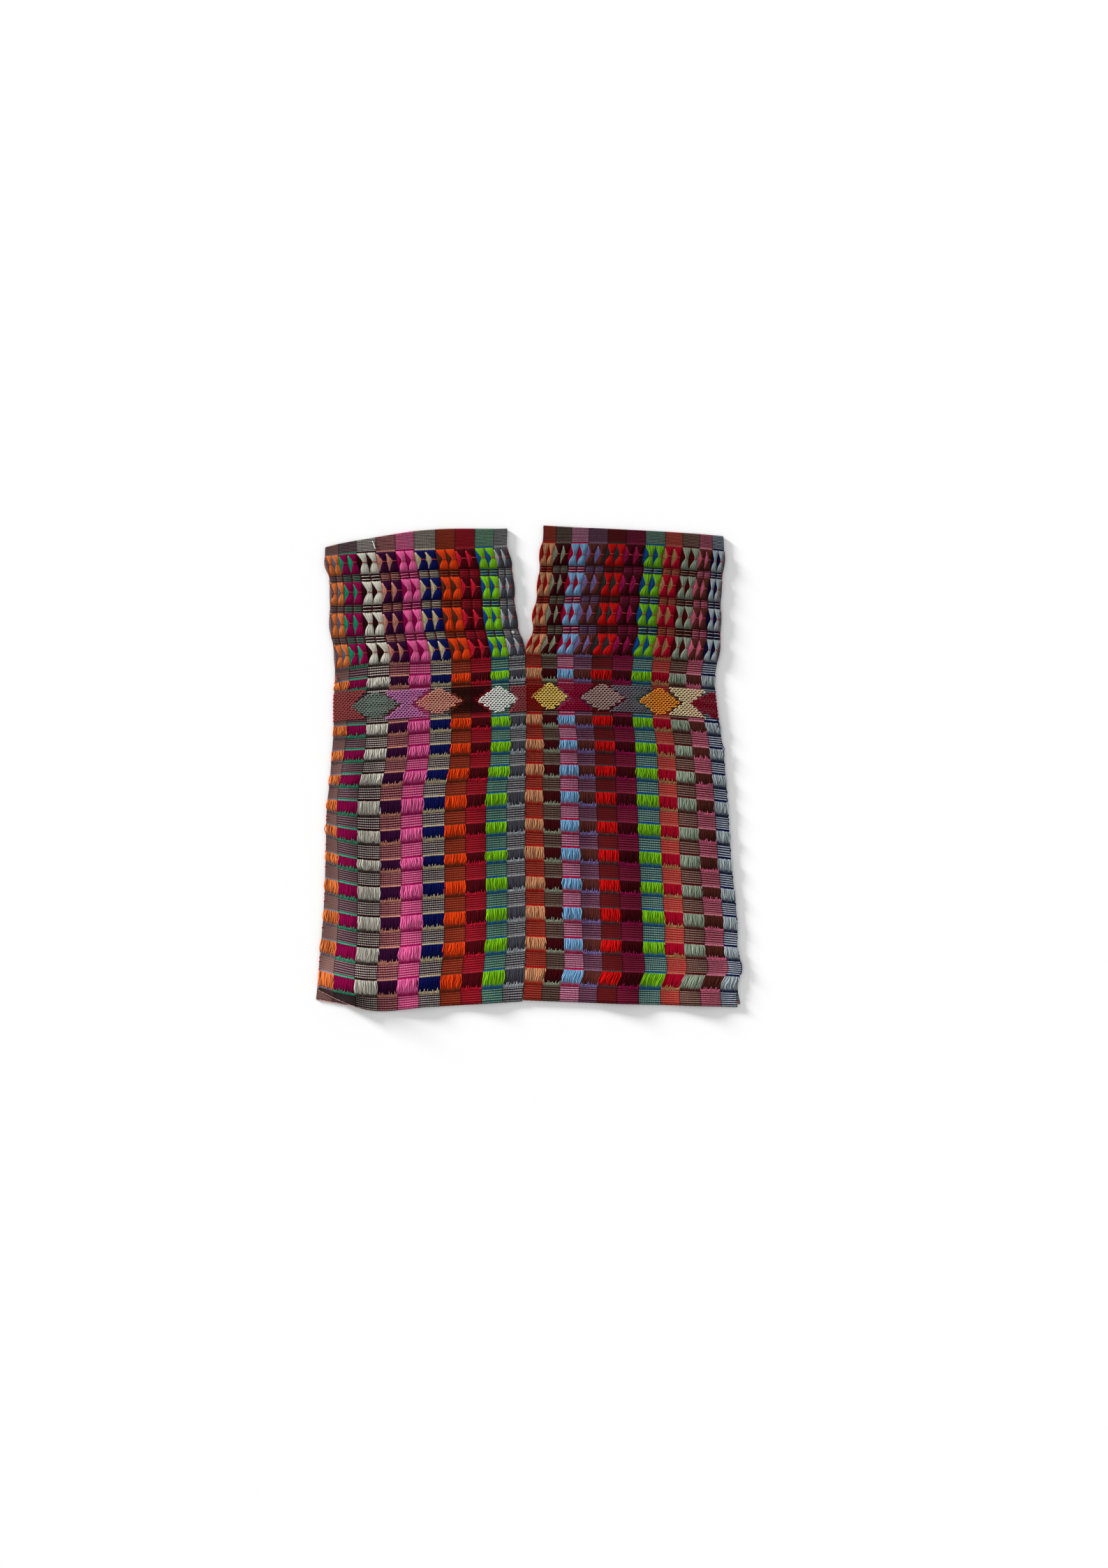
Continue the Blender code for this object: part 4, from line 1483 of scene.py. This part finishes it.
@dataclass
class TiedYoke:
    """The rows of tied warp bundles over the shoulders of one loom width.

    rises and lens_rises are how high the middle strand lies, by its share of the row.
    tie_over and bar_dive are heights by place, and even_bar_mix is the shares of under
    yarn and ground in every other line of a bar.
    """

    width: LoomWidth
    seed: int
    halves: int = 2
    bundle_strands: int = 12
    lens_strands: int = 9
    radius: float = 0.74
    lens_radius: float = 0.76
    flatness: float = 0.65
    ply_painted_shade: float = 0.4
    points: int = 9
    spread: float = 0.25
    lean: float = 0.03
    crown_foot: float = 0.4
    rise_scatter: float = 0.09
    # Painted shade on the strands: darker towards each bundle's ends and on its low flanks.
    end_painted_shade: float = 0.66
    end_painted_shade_swing: float = 0.36
    flank_painted_shade: float = 0.78
    shades: tuple = (0.86, 1.1)
    thickness_range: tuple = (0.88, 1.1)
    gain: float = 1.05
    tie_share: float = 0.46
    tie_radius: float = 0.6
    tie_points: int = 9
    tie_reach: float = 1.3
    tie_over: tuple = ((0, 0.7, 1.0, 1.15, 1.3), (2.35, 2.2, 1.6, 0.9, 0.1))
    tie_scatter: float = 0.012
    tie_slant: float = 0.008
    bar_lines: tuple = (0.03, 0.29, 0.5, 0.71, 0.97)
    bar_radius: float = 0.5
    bar_points: int = 6
    bar_dive: tuple = ((0.06, 0.2, 0.82, 0.96), (-0.3, 0.42, 0.42, -0.3))
    bar_scatter: float = 0.1
    bar_shades: tuple = (0.65, 0.9)
    even_bar_mix: tuple = (0.45, 0.35)
    rises: tuple = ((0, 0.1), (0.2, 1.8), (0.46, 1.3), (0.7, 2.0), (0.9, 1.2), (1, 0.1))
    lens_rises: tuple = ((0, 0.1), (0.46, 1.0), (1, 0.1))

    def build(self, material: bpy.types.Material) -> bpy.types.Object:
        """Builds the bundles and the lenses of under yarn between them.

        Args:
            material: The spun yarn.

        Returns:
            The object.
        """
        rng = np.random.default_rng(self.seed)
        mesh = StrandMesh(self.width.side + "_yoke_bundles")
        lens = (LENSES, self.lens_strands, self.lens_radius, self.lens_rises)
        bundle = (BUNDLES, self.bundle_strands, self.radius, self.rises)
        for limits in self.width.tied_rows():
            for i, yarns in enumerate(self.width.yarns):
                for half in range(self.halves):
                    self.add_group(mesh, rng, (i, half), limits, yarns.under, *lens)
                    self.add_group(mesh, rng, (i, half), limits, yarns.raised, *bundle)
        return mesh.build(self.width, material)

    def add_group(
        self, mesh: StrandMesh, rng: np.random.Generator, place: tuple[int, int],
        limits: tuple[float, float], colour: Colour, reaches: dict, count: int, radius: float,
        rises: tuple,
    ) -> None:
        """Adds one bundle or lens.

        Args:
            mesh: Where the strands go.
            rng: The random numbers of this piece.
            place: The stripe, and which half of it.
            limits: The row's top and bottom levels.
            colour: The yarn.
            reaches: Where the strands lie, by the side of the blouse.
            count: The number of strands.
            radius: Their radius.
            rises: How high the middle strand lies, by share of the row.
        """
        table = np.array(reaches[self.width.side], float)
        u = np.linspace(table[0, 0], table[-1, 0], self.points)
        start, end = hermite(u, table[:, 0], table[:, 1]), hermite(u, table[:, 0], table[:, 2])
        q = (np.arange(count) + 0.5)[:, None] / count
        lean = np.sin(np.pi * u)[None, :] * rng.normal(0, self.lean)
        spot = start + (q + rng.normal(0, self.spread / count, (count, 1))) * (end - start) + lean
        stripe = place[0] + (place[1] + spot) / self.halves
        level = limits[0] + u[None, :] * (limits[1] - limits[0])
        crown = self.crown_foot + (1 - self.crown_foot) * np.sqrt(1 - (2 * q - 1) ** 2)
        rise = hermite(u, *np.array(rises, float).T)[None, :] * crown
        rise = rise + rng.normal(0, self.rise_scatter, (count, 1))
        paths = self.width.front(np.clip(stripe, 0, self.width.count), level, rise)
        # Painted shade: strands are darker towards the bundle's ends and on its low flanks.
        ends = np.sin(np.pi * np.clip(u, 0.02, 0.98))[None, :, None] ** 0.4
        shade = rng.uniform(*self.shades, (count, 1, 1)) * (self.end_painted_shade + self.end_painted_shade_swing * ends)
        shade = shade * (self.flank_painted_shade + (1 - self.flank_painted_shade) * crown[:, :, None])
        thick = radius * rng.uniform(*self.thickness_range, (count, 1))
        light = screen_to_light(colour, self.gain * self.width.level_gain(limits[0]))
        mesh.add(paths, thick, light * shade, self.flatness, self.ply_painted_shade)

    def build_ties(self, material: bpy.types.Material) -> bpy.types.Object:
        """Builds the brick-red thread that ties each row's bundles, over each and under the gaps.

        Args:
            material: The tie thread.

        Returns:
            The object.
        """
        rng = np.random.default_rng(self.seed + 1)
        mesh = StrandMesh(self.width.side + "_yoke_ties")
        table = np.array(BUNDLES[self.width.side], float)
        start = float(np.interp(self.tie_share, table[:, 0], table[:, 1]))
        end = float(np.interp(self.tie_share, table[:, 0], table[:, 2]))
        across = np.linspace(-self.tie_reach, self.tie_reach, self.tie_points)
        spot = (start + end) / 2 + across * (end - start) / 2
        over = np.interp(np.abs(across), *self.tie_over)
        bundles = np.arange(self.width.count * self.halves)[:, None]
        stripe = ((bundles + spot) / self.halves).ravel()
        for top, bottom in self.width.tied_rows():
            scatter = rng.normal(0, self.tie_scatter, bundles.shape)
            share = self.tie_share + scatter + across * self.tie_slant
            level = (top + (bottom - top) * share).ravel()
            path = self.width.front(stripe, level, np.tile(over, len(bundles)))
            mesh.add_one(path, self.tie_radius, screen_to_light(BRICK_THREAD))
        return mesh.build(self.width, material)

    def build_bars(self, material: bpy.types.Material) -> bpy.types.Object:
        """Builds the weft lines of the bars between the rows, two groups to a stripe.

        Args:
            material: The spun yarn.

        Returns:
            The object.
        """
        rng = np.random.default_rng(self.seed + 2)
        mesh = StrandMesh(self.width.side + "_yoke_bars")
        rows = self.width.tied_rows()
        lines = np.array(self.bar_lines)[:, None]
        run = np.linspace(self.bar_dive[0][0], self.bar_dive[0][-1], self.bar_points)
        dive = np.interp(run, *self.bar_dive)
        for (_, above), (below, _) in zip(rows, rows[1:]):
            for i, yarns in enumerate(self.width.yarns):
                ground = yarns.light("ground")
                even = yarns.light("under") * self.even_bar_mix[0] + ground * self.even_bar_mix[1]
                for half in range(self.halves):
                    level = above + lines * (below - above)
                    level = level + rng.normal(0, self.bar_scatter, (len(lines), len(run)))
                    stripe = np.broadcast_to(i + (half + run) / self.halves, level.shape)
                    shade = rng.uniform(*self.bar_shades, (len(lines), 1)) * yarns.contrast
                    light = yarns.light("dots") * shade + ground * (1 - shade)
                    light[::2] = even
                    light = light * self.width.level_gain(above)
                    mesh.add(self.width.front(stripe, level, dive[None, :]), self.bar_radius, light)
        return mesh.build(self.width, material)


class Motif(NamedTuple):
    """A diamond or a bow-tie of looped brocade yarn, by its place in the photograph's frame.

    waist and ends are its half widths at mid height and at its top and bottom. closeness
    is 1 where the yarn almost hides the ground.
    """

    name: str
    centre_x: float
    centre_y: float
    waist: float
    ends: float
    half_height: float
    colour: Colour
    closeness: float = 0.0


MOTIFS = {
    "left": (
        Motif("brick_bow", 478, 1012, 25, 46, 21, (190, 88, 88), 1.0),
        Motif("grey_green_diamond", 537, 1009.5, 35, 3, 18.5, (122, 138, 128)),
        Motif("lilac_bow", 582, 1008, 5, 31, 20, (210, 132, 192)),
        Motif("salmon_diamond", 628.5, 1004, 32, 3, 18, (228, 152, 130)),
        Motif("black_bow", 672, 1002, 4, 30, 19, (22, 8, 8)),
        Motif("white_diamond", 714, 1001, 29, 2, 18.5, (244, 244, 236)),
        Motif("dusty_red_bow", 753, 1000, 11, 23, 18.5, (164, 70, 76), 1.0),
    ),
    "right": (
        Motif("dark_red_bow", 753, 997, 10, 27, 18, (144, 22, 18), 1.0),
        Motif("golden_diamond", 787, 996.5, 26, 2, 19, (238, 202, 100)),
        Motif("crimson_bow", 824, 998, 4, 27, 19.5, (164, 8, 56), 1.0),
        Motif("beige_diamond", 863, 998, 31, 3, 18.5, (168, 142, 134)),
        Motif("grey_bow", 904, 1001, 4, 31, 19, (112, 108, 116), 0.5),
        Motif("orange_diamond", 945, 1004, 29, 2, 19, (244, 152, 48)),
        Motif("cream_bow", 984, 1006, 4, 27, 20, (230, 210, 164)),
        Motif("deep_red_diamond", 1028, 1009, 38, 3, 20, (150, 20, 40), 1.0),
    ),
}


@dataclass
class BrocadeBand:
    """The band of looped motifs below the yoke: wavy yarns that meet in an open mesh.

    least_run is the shortest row, as a share of a wave, and bend the turn at a row's end,
    each point with its share of the loop's reach and of the pitch.
    """

    width: LoomWidth
    seed: int
    row_pitch: float = 2.7
    wave_length: float = 5.1
    wave_height: float = 0.5
    radius: float = 0.74
    close_gain: float = 0.24
    flatness: float = 0.85
    step: float = 0.64
    loop_reach: float = 0.8
    rise: float = 0.5
    rise_swing: float = 0.3
    edge_gap: float = 0.6
    level: float = 250.0
    shade: float = 0.86
    # Painted light and shade: the yarn is lighter where it rises and darker in its dips.
    painted_shade_swing: float = 0.16
    shade_scatter: float = 0.04
    open_gain: float = 0.8
    close_loss: float = 0.2
    least_run: float = 0.6
    wave_scatter: float = 0.1
    bend: tuple = ((0.6, 0.22), (1.0, 0.5), (0.6, 0.78))

    def build(self, material: bpy.types.Material) -> bpy.types.Object:
        """Builds the motifs of this loom width.

        Args:
            material: The brocade yarn.

        Returns:
            The object.
        """
        rng = np.random.default_rng(self.seed)
        mesh = StrandMesh(self.width.side + "_brocade_motifs")
        for motif in MOTIFS[self.width.side]:
            across, down, phase = self.route(motif, rng)
            stripe = self.width.stripe_at(across, down)
            tilt = self.width.weft_down(stripe, self.level)
            centre = self.width.stripe_at(
                np.clip([motif.centre_x - PHOTO_LEFT], across.min(), across.max()),
                np.array([motif.centre_y - PHOTO_TOP]),
            )
            down = down + tilt - self.width.weft_down(centre, self.level)
            height = self.width.front_height(stripe, across, down)
            path = placed(across, down, height + self.rise + self.rise_swing * np.sin(phase))
            # Painted light and shade: lighter where the yarn rises, darker in its dips.
            shade = self.shade + self.painted_shade_swing * np.sin(phase)
            shade = shade + rng.normal(0, self.shade_scatter, len(across))
            gain = self.open_gain - self.close_loss * motif.closeness
            radius = self.radius + self.close_gain * motif.closeness
            light = screen_to_light(motif.colour, gain) * shade[:, None]
            mesh.add_one(path, radius, light, self.flatness)
        return mesh.build(self.width, material)

    def route(self, motif: Motif, rng: np.random.Generator) -> tuple[Array, Array, Array]:
        """The yarn's way through a motif, to and fro, row by row.

        Args:
            motif: The motif.
            rng: The random numbers of this piece.

        Returns:
            Places across, distances down and the wave's phase along the yarn.
        """
        rows = round(2 * motif.half_height / self.row_pitch)
        bend_across, bend_down = np.array(self.bend).T
        across, down, phase = [], [], []
        for k in range(rows):
            share = (k + 0.5) / rows * 2 - 1
            y = motif.centre_y - PHOTO_TOP + share * motif.half_height
            half = motif.waist + (motif.ends - motif.waist) * abs(share)
            start, end = self.width.edges(np.array([y]))
            low = max(motif.centre_x - PHOTO_LEFT - half, start[0] + self.edge_gap)
            high = min(motif.centre_x - PHOTO_LEFT + half, end[0] - self.edge_gap)
            if high - low < self.wave_length * self.least_run:
                continue
            x = np.arange(low, high, self.step)
            turn = 2 * np.pi * x / self.wave_length + np.pi * k
            wave = self.wave_height * np.cos(turn) + rng.normal(0, self.wave_scatter, len(x))
            end, reach = high, self.loop_reach
            if k % 2:
                x, turn, wave = x[::-1], turn[::-1], wave[::-1]
                end, reach = low, -self.loop_reach
            across += [x, end + reach * bend_across]
            down += [y + wave, y + self.row_pitch * bend_down]
            phase += [turn * 2, np.zeros(len(self.bend))]
        return np.concatenate(across), np.concatenate(down), np.concatenate(phase)


class LooseEnd(NamedTuple):
    """A stray thread or a small loop, by its place in the photograph's frame.

    turns is 0 for a thread, a half for a loop that stands out from an edge and 1 for a ring.
    """

    x: float
    y: float
    reach: float
    drop: float
    turns: float
    colour: Colour


LOOSE_ENDS = {
    "left": (
        LooseEnd(533.5, 775, 5, 11, 0, (236, 228, 222)),
        LooseEnd(735, 905, 1.5, 1.2, 1, (226, 226, 226)),
        LooseEnd(481, 968, 1.4, 7, 0, CORAL_THREAD),
        LooseEnd(598, 1409, 0.8, 5.5, 1, (96, 20, 52)),
    ),
    "right": (
        LooseEnd(1026.5, 1036, 3.0, 4.5, 0.5, NAVY_THREAD),
        LooseEnd(1034.5, 1073, 2.6, 4.5, 0.5, NAVY_THREAD),
        LooseEnd(1060, 1386, 2.4, 9.0, 0.5, NAVY_THREAD),
        LooseEnd(1053, 1434, 3.5, 1.0, 0, (206, 70, 38)),
    ),
}


@dataclass
class Selvedges:
    """The yarns along a loom width's edges: neck and arm loops, side and centre stitches, hems.

    A pair of rows is places and the values there. stitch_gaps and seam_gap are in stitch
    pitches, hem_mix is the shares of ground and dots in the hem's colour, and
    hem_points is how many points a stripe's hem has.
    """

    width: LoomWidth
    seed: int
    edge_inset: float = 1.0
    edge_strands: int = 8
    edge_points: int = 10
    arm_swell: float = 0.6
    loop_reach: float = 2.8
    loop_radius: float = 0.7
    loose_rise: float = 1.1
    loose_points: int = 12
    thread_step: float = 2.0
    thread_width: float = 0.65
    thread_gain: float = 0.5
    stitch_radius: float = 0.55
    stitch_pitch: float = 5.5
    stitch_points: int = 7
    stitch_height: float = 2.6
    stitch_half_height: float = 1.7
    stitch_gaps: tuple = (1.1, 2.0, 4.0, 7.0)
    seam_gap: float = 3.1
    seam_length: float = 2.4
    seam_points: int = 5
    seam_width: float = 0.8
    seam_rise: tuple = ((0, 0.3, 0.8, 1), (-0.2, 0.45, 0.2, -1.0))
    seam_aside: tuple = ((0, 1), (1.6, 0.1))
    seam_thread: Colour = (86, 20, 22)
    hem_radius: float = 0.55
    hem_coil: float = 0.12
    hem_coil_pitch: float = 3.2
    hem_points: int = 26
    hem_mix: tuple = (0.8, 0.12)
    fleck_colour: Colour = (226, 170, 160)
    fleck_shares: tuple = ((0, 1.6, 2.6, 3.0), (0.95, 0.85, 0.5, 0.0))
    corner_widths: tuple = ((0, 2.6, 3.4), (1.5, 1.5, 1.0))

    def sides(self) -> tuple[float, float, float]:
        """The stripe coordinates of the side and centre edges, and which way is out at the side."""
        count = float(self.width.count)
        return (0.0, count, -1.0) if self.width.is_left else (count, 0.0, 1.0)

    def build_edges(self, material: bpy.types.Material) -> bpy.types.Object:
        """Builds the edge yarns that bow out between the yoke's bars, and the stray threads.

        Args:
            material: The spun yarn.

        Returns:
            The object.
        """
        rng = np.random.default_rng(self.seed)
        mesh = StrandMesh(self.width.side + "_edge_yarns")
        u = np.linspace(0, 1, self.edge_points)
        for stripe, sign in ((0.0, -1.0), (float(self.width.count), 1.0)):
            yarns = self.width.yarns[0 if stripe == 0 else -1]
            neck = (stripe == 0) != self.width.is_left
            gather = "raised" if self.width.is_left else "under"
            for top, bottom in self.width.tied_rows():
                swell = self.loop_reach * rng.uniform(0.8, 1.2) * (1.0 if neck else self.arm_swell)
                skew = rng.uniform(0.7, 1.3)
                for k in range(self.edge_strands):
                    yarn = gather if neck else ("under" if k % 3 else "raised")
                    reach = (k + 1) / self.edge_strands
                    bow = np.sin(np.pi * u**skew) ** 0.8 * swell * reach + rng.normal(0, 0.1)
                    aside = sign * (bow - self.edge_inset)
                    rise = -0.2 + (1.3 - 0.5 * reach) * np.sin(np.pi * u) ** 0.7
                    level = top - 0.5 + u * (bottom - top + 1)
                    path = self.width.front(stripe, level, rise, aside)
                    light = yarns.light(yarn, self.width.level_gain(top)) * rng.uniform(0.75, 1.05)
                    mesh.add_one(path, self.loop_radius, light)
        self.add_loose_ends(mesh)
        return mesh.build(self.width, material)

    def add_loose_ends(self, mesh: StrandMesh) -> None:
        """Adds the few stray threads and loops of this loom width.

        Args:
            mesh: Where they go.
        """
        share = np.linspace(0, 1, self.loose_points)
        for loose in LOOSE_ENDS[self.width.side]:
            across, down = loose.x - PHOTO_LEFT, loose.y - PHOTO_TOP
            if loose.turns:
                turn = 2 * np.pi * loose.turns * (share - 0.5)
                x = across + loose.reach * np.cos(turn)
                y = down + loose.drop * np.sin(turn)
            else:
                x = across + loose.reach * share + 0.5 * np.sin(6 * share)
                y = down + loose.drop * share
            stripe = self.width.stripe_at(x, y)
            path = placed(x, y, self.width.front_height(stripe, x, y) + self.loose_rise)
            mesh.add_one(path, self.stitch_radius, screen_to_light(loose.colour, 0.9))

    def build_neck_thread(self, material: bpy.types.Material) -> bpy.types.Object:
        """Builds the brick-red thread that zigzags down the neck's and the arm's edge.

        Args:
            material: The tie thread.

        Returns:
            The object.
        """
        mesh = StrandMesh(self.width.side + "_edge_thread")
        rows = self.width.tied_rows()
        level = np.arange(rows[0][0], rows[-1][1], self.thread_step)
        zigzag = 0.07 + 0.09 * np.sin(level * 0.15) + 0.03 * np.sin(level * 0.41)
        rise = 1.9 + 0.4 * np.sin(level * 0.29 + 1.4)
        light = screen_to_light(BRICK_THREAD, self.thread_gain)
        for stripe, sign in ((0.0, 1.0), (float(self.width.count), -1.0)):
            path = self.width.front(stripe + sign * zigzag, level, rise)
            mesh.add_one(path, self.stitch_radius * self.thread_width, light)
        return mesh.build(self.width, material)

    def build_stitches(self, material: bpy.types.Material) -> bpy.types.Object:
        """Builds the overcast stitches of the side seam and the small ones of the centre seam.

        Args:
            material: The seam thread.

        Returns:
            The object.
        """
        rng = np.random.default_rng(self.seed + 3)
        mesh = StrandMesh(self.width.side + "_seam_stitches")
        outer, inner, sign = self.sides()
        light = screen_to_light(CORAL_THREAD if self.width.is_left else NAVY_THREAD)
        turn = np.linspace(-0.5, 0.5, self.stitch_points) * np.pi
        height = self.stitch_height - np.sin(turn) * self.stitch_half_height
        level = self.width.limits(BANDS[4])[0]
        while level < self.width.hem - 12:
            slant = rng.uniform(3.0, 6.5)
            down = self.width.weft_down(outer, level + slant * turn / np.pi)
            edge = self.width.edges(down)[0 if self.width.is_left else 1]
            reach = rng.uniform(0.6, 1.4)
            across = edge + sign * (np.cos(turn) * (reach + 0.5) - reach)
            path = placed(across, down, height)
            mesh.add_one(path, self.stitch_radius, light * rng.uniform(0.75, 1.1))
            level += self.stitch_pitch * rng.choice(self.stitch_gaps)
        t = np.linspace(0, 1, self.seam_points)
        rise, aside = np.interp(t, *self.seam_rise), sign * np.interp(t, *self.seam_aside)
        pitch = self.stitch_pitch * self.seam_gap
        for level in np.arange(BOWS[4].left + 2, self.width.hem - 3, pitch):
            path = self.width.front(inner, level + self.seam_length * t, rise, aside)
            mesh.add_one(path, self.stitch_radius * self.seam_width, screen_to_light(self.seam_thread))
        return mesh.build(self.width, material)

    def build_hems(self, material: bpy.types.Material) -> bpy.types.Object:
        """Builds the coiled yarn that edges the front and the back hem.

        Args:
            material: The spun yarn.

        Returns:
            The object.
        """
        rng = np.random.default_rng(self.seed + 5)
        mesh = StrandMesh(self.width.side + "_hem_edges")
        stripe = np.linspace(0.02, self.width.count - 0.02, self.width.count * self.hem_points)
        lights = [
            yarns.light("ground", self.hem_mix[0]) + yarns.light("dots", self.hem_mix[1])
            for yarns in self.width.yarns
        ]
        colour = np.array(lights)[stripe.astype(int)]
        radius = self.hem_radius
        if self.width.is_left:
            pale = np.interp(stripe, *self.fleck_shares)[:, None]
            fleck = np.clip(rng.normal(0.75, 0.3, (len(stripe), 1)), 0, 1) * pale
            colour = colour * (1 - fleck) + screen_to_light(self.fleck_colour) * fleck
            radius = self.hem_radius * np.interp(stripe, *self.corner_widths)
        coil = stripe * 28 / self.hem_coil_pitch * np.pi
        level = np.full(len(stripe), self.width.hem)
        rise = -0.75 + self.hem_coil * np.sin(coil)
        front = self.width.front(stripe, level, rise, along=self.hem_coil * np.cos(coil) - 0.1)
        back = self.width.back(stripe, level - 0.3, 0.85 + 0.25 * np.sin(coil))
        for path in (front, back):
            mesh.add_one(path, radius, colour)
        return mesh.build(self.width, material)


@dataclass
class Studio:
    """The pale floor, the soft light from the upper left, and the camera straight above."""

    frame_height: float = 2.245
    centre: tuple = (0.0359, -0.0228)
    lens: float = 85.0
    sensor: float = 36.0
    floor_size: float = 80.0
    floor_drop: float = 0.0004
    farthest: float = 100.0
    ambient: float = 0.645
    sun: float = 6.7
    sun_angle: float = 11.0
    sun_from: tuple = (-0.78, 0.58, 0.186)

    def build(self, floor: bpy.types.Material) -> None:
        """Builds the studio.

        Args:
            floor: The floor's material.
        """
        scene = bpy.context.scene
        scene.view_settings.view_transform = "Standard"
        half = self.floor_size / 2
        mesh = bpy.data.meshes.new("studio_floor")
        corners = ((-half, -half), (half, -half), (half, half), (-half, half))
        mesh.from_pydata([(*corner, -self.floor_drop) for corner in corners], [], [(0, 1, 2, 3)])
        mesh.materials.append(floor)
        ground = bpy.data.objects.new("studio_floor", mesh)
        scene.collection.objects.link(ground)
        world = bpy.data.worlds.new("studio_light")
        world.use_nodes = True
        sky = world.node_tree.nodes["Background"]
        sky.inputs["Color"].default_value = (1.0, 1.0, 1.0, 1.0)
        sky.inputs["Strength"].default_value = self.ambient
        scene.world = world
        sun = bpy.data.lights.new("key_light", "SUN")
        sun.energy = self.sun
        sun.angle = math.radians(self.sun_angle)
        key = bpy.data.objects.new("key_light", sun)
        key.rotation_mode = "QUATERNION"
        key.rotation_quaternion = Vector(self.sun_from).to_track_quat("Z", "Y")
        scene.collection.objects.link(key)
        camera = bpy.data.cameras.new("camera")
        camera.lens = self.lens
        camera.sensor_width = self.sensor
        camera.clip_end = self.farthest
        view = bpy.data.objects.new("camera", camera)
        view.location = (*self.centre, self.frame_height * self.lens / self.sensor)
        scene.collection.objects.link(view)
        scene.camera = view


def main() -> None:
    """Builds the blouse's pieces in order, and the studio around them."""
    logging.basicConfig(level=logging.INFO, format="%(name)s: %(message)s")
    Studio().build(PaleFloor().material("studio_floor"))
    ground = WovenGround().material("woven_ground")
    cotton = SpunYarn().material("spun_cotton")
    loose = SpunYarn(plies=4.0, twist=0.05, shadow=0.58, depth=0.0002).material("loose_cotton")
    thread = SpunYarn(twist=0.8, roughness=0.8).material("tie_thread")
    brocade = SpunYarn(twist=0.3, shadow=0.86, depth=0.00022).material("brocade_yarn")
    seam = SpunYarn(twist=0.6, roughness=0.8).material("seam_thread")
    for width in WIDTHS:
        seed = SEEDS[width.side]
        yoke = TiedYoke(width, seed + 20)
        edges = Selvedges(width, seed + 40)
        floats = FloatBands(width, seed + 10)
        pieces = [
            GroundCloth(width, FLAT_WIDTHS[width.side]).build(ground),
            floats.build(loose),
            floats.build_teeth(loose),
            yoke.build(loose),
            yoke.build_ties(thread),
            yoke.build_bars(cotton),
            BrocadeBand(width, seed + 30).build(brocade),
            edges.build_edges(cotton),
            edges.build_neck_thread(thread),
            edges.build_stitches(seam),
            edges.build_hems(cotton),
        ]
        for piece in pieces:
            log.info("%s: %d faces", piece.name, len(piece.data.polygons))


if __name__ == "__main__":
    main()
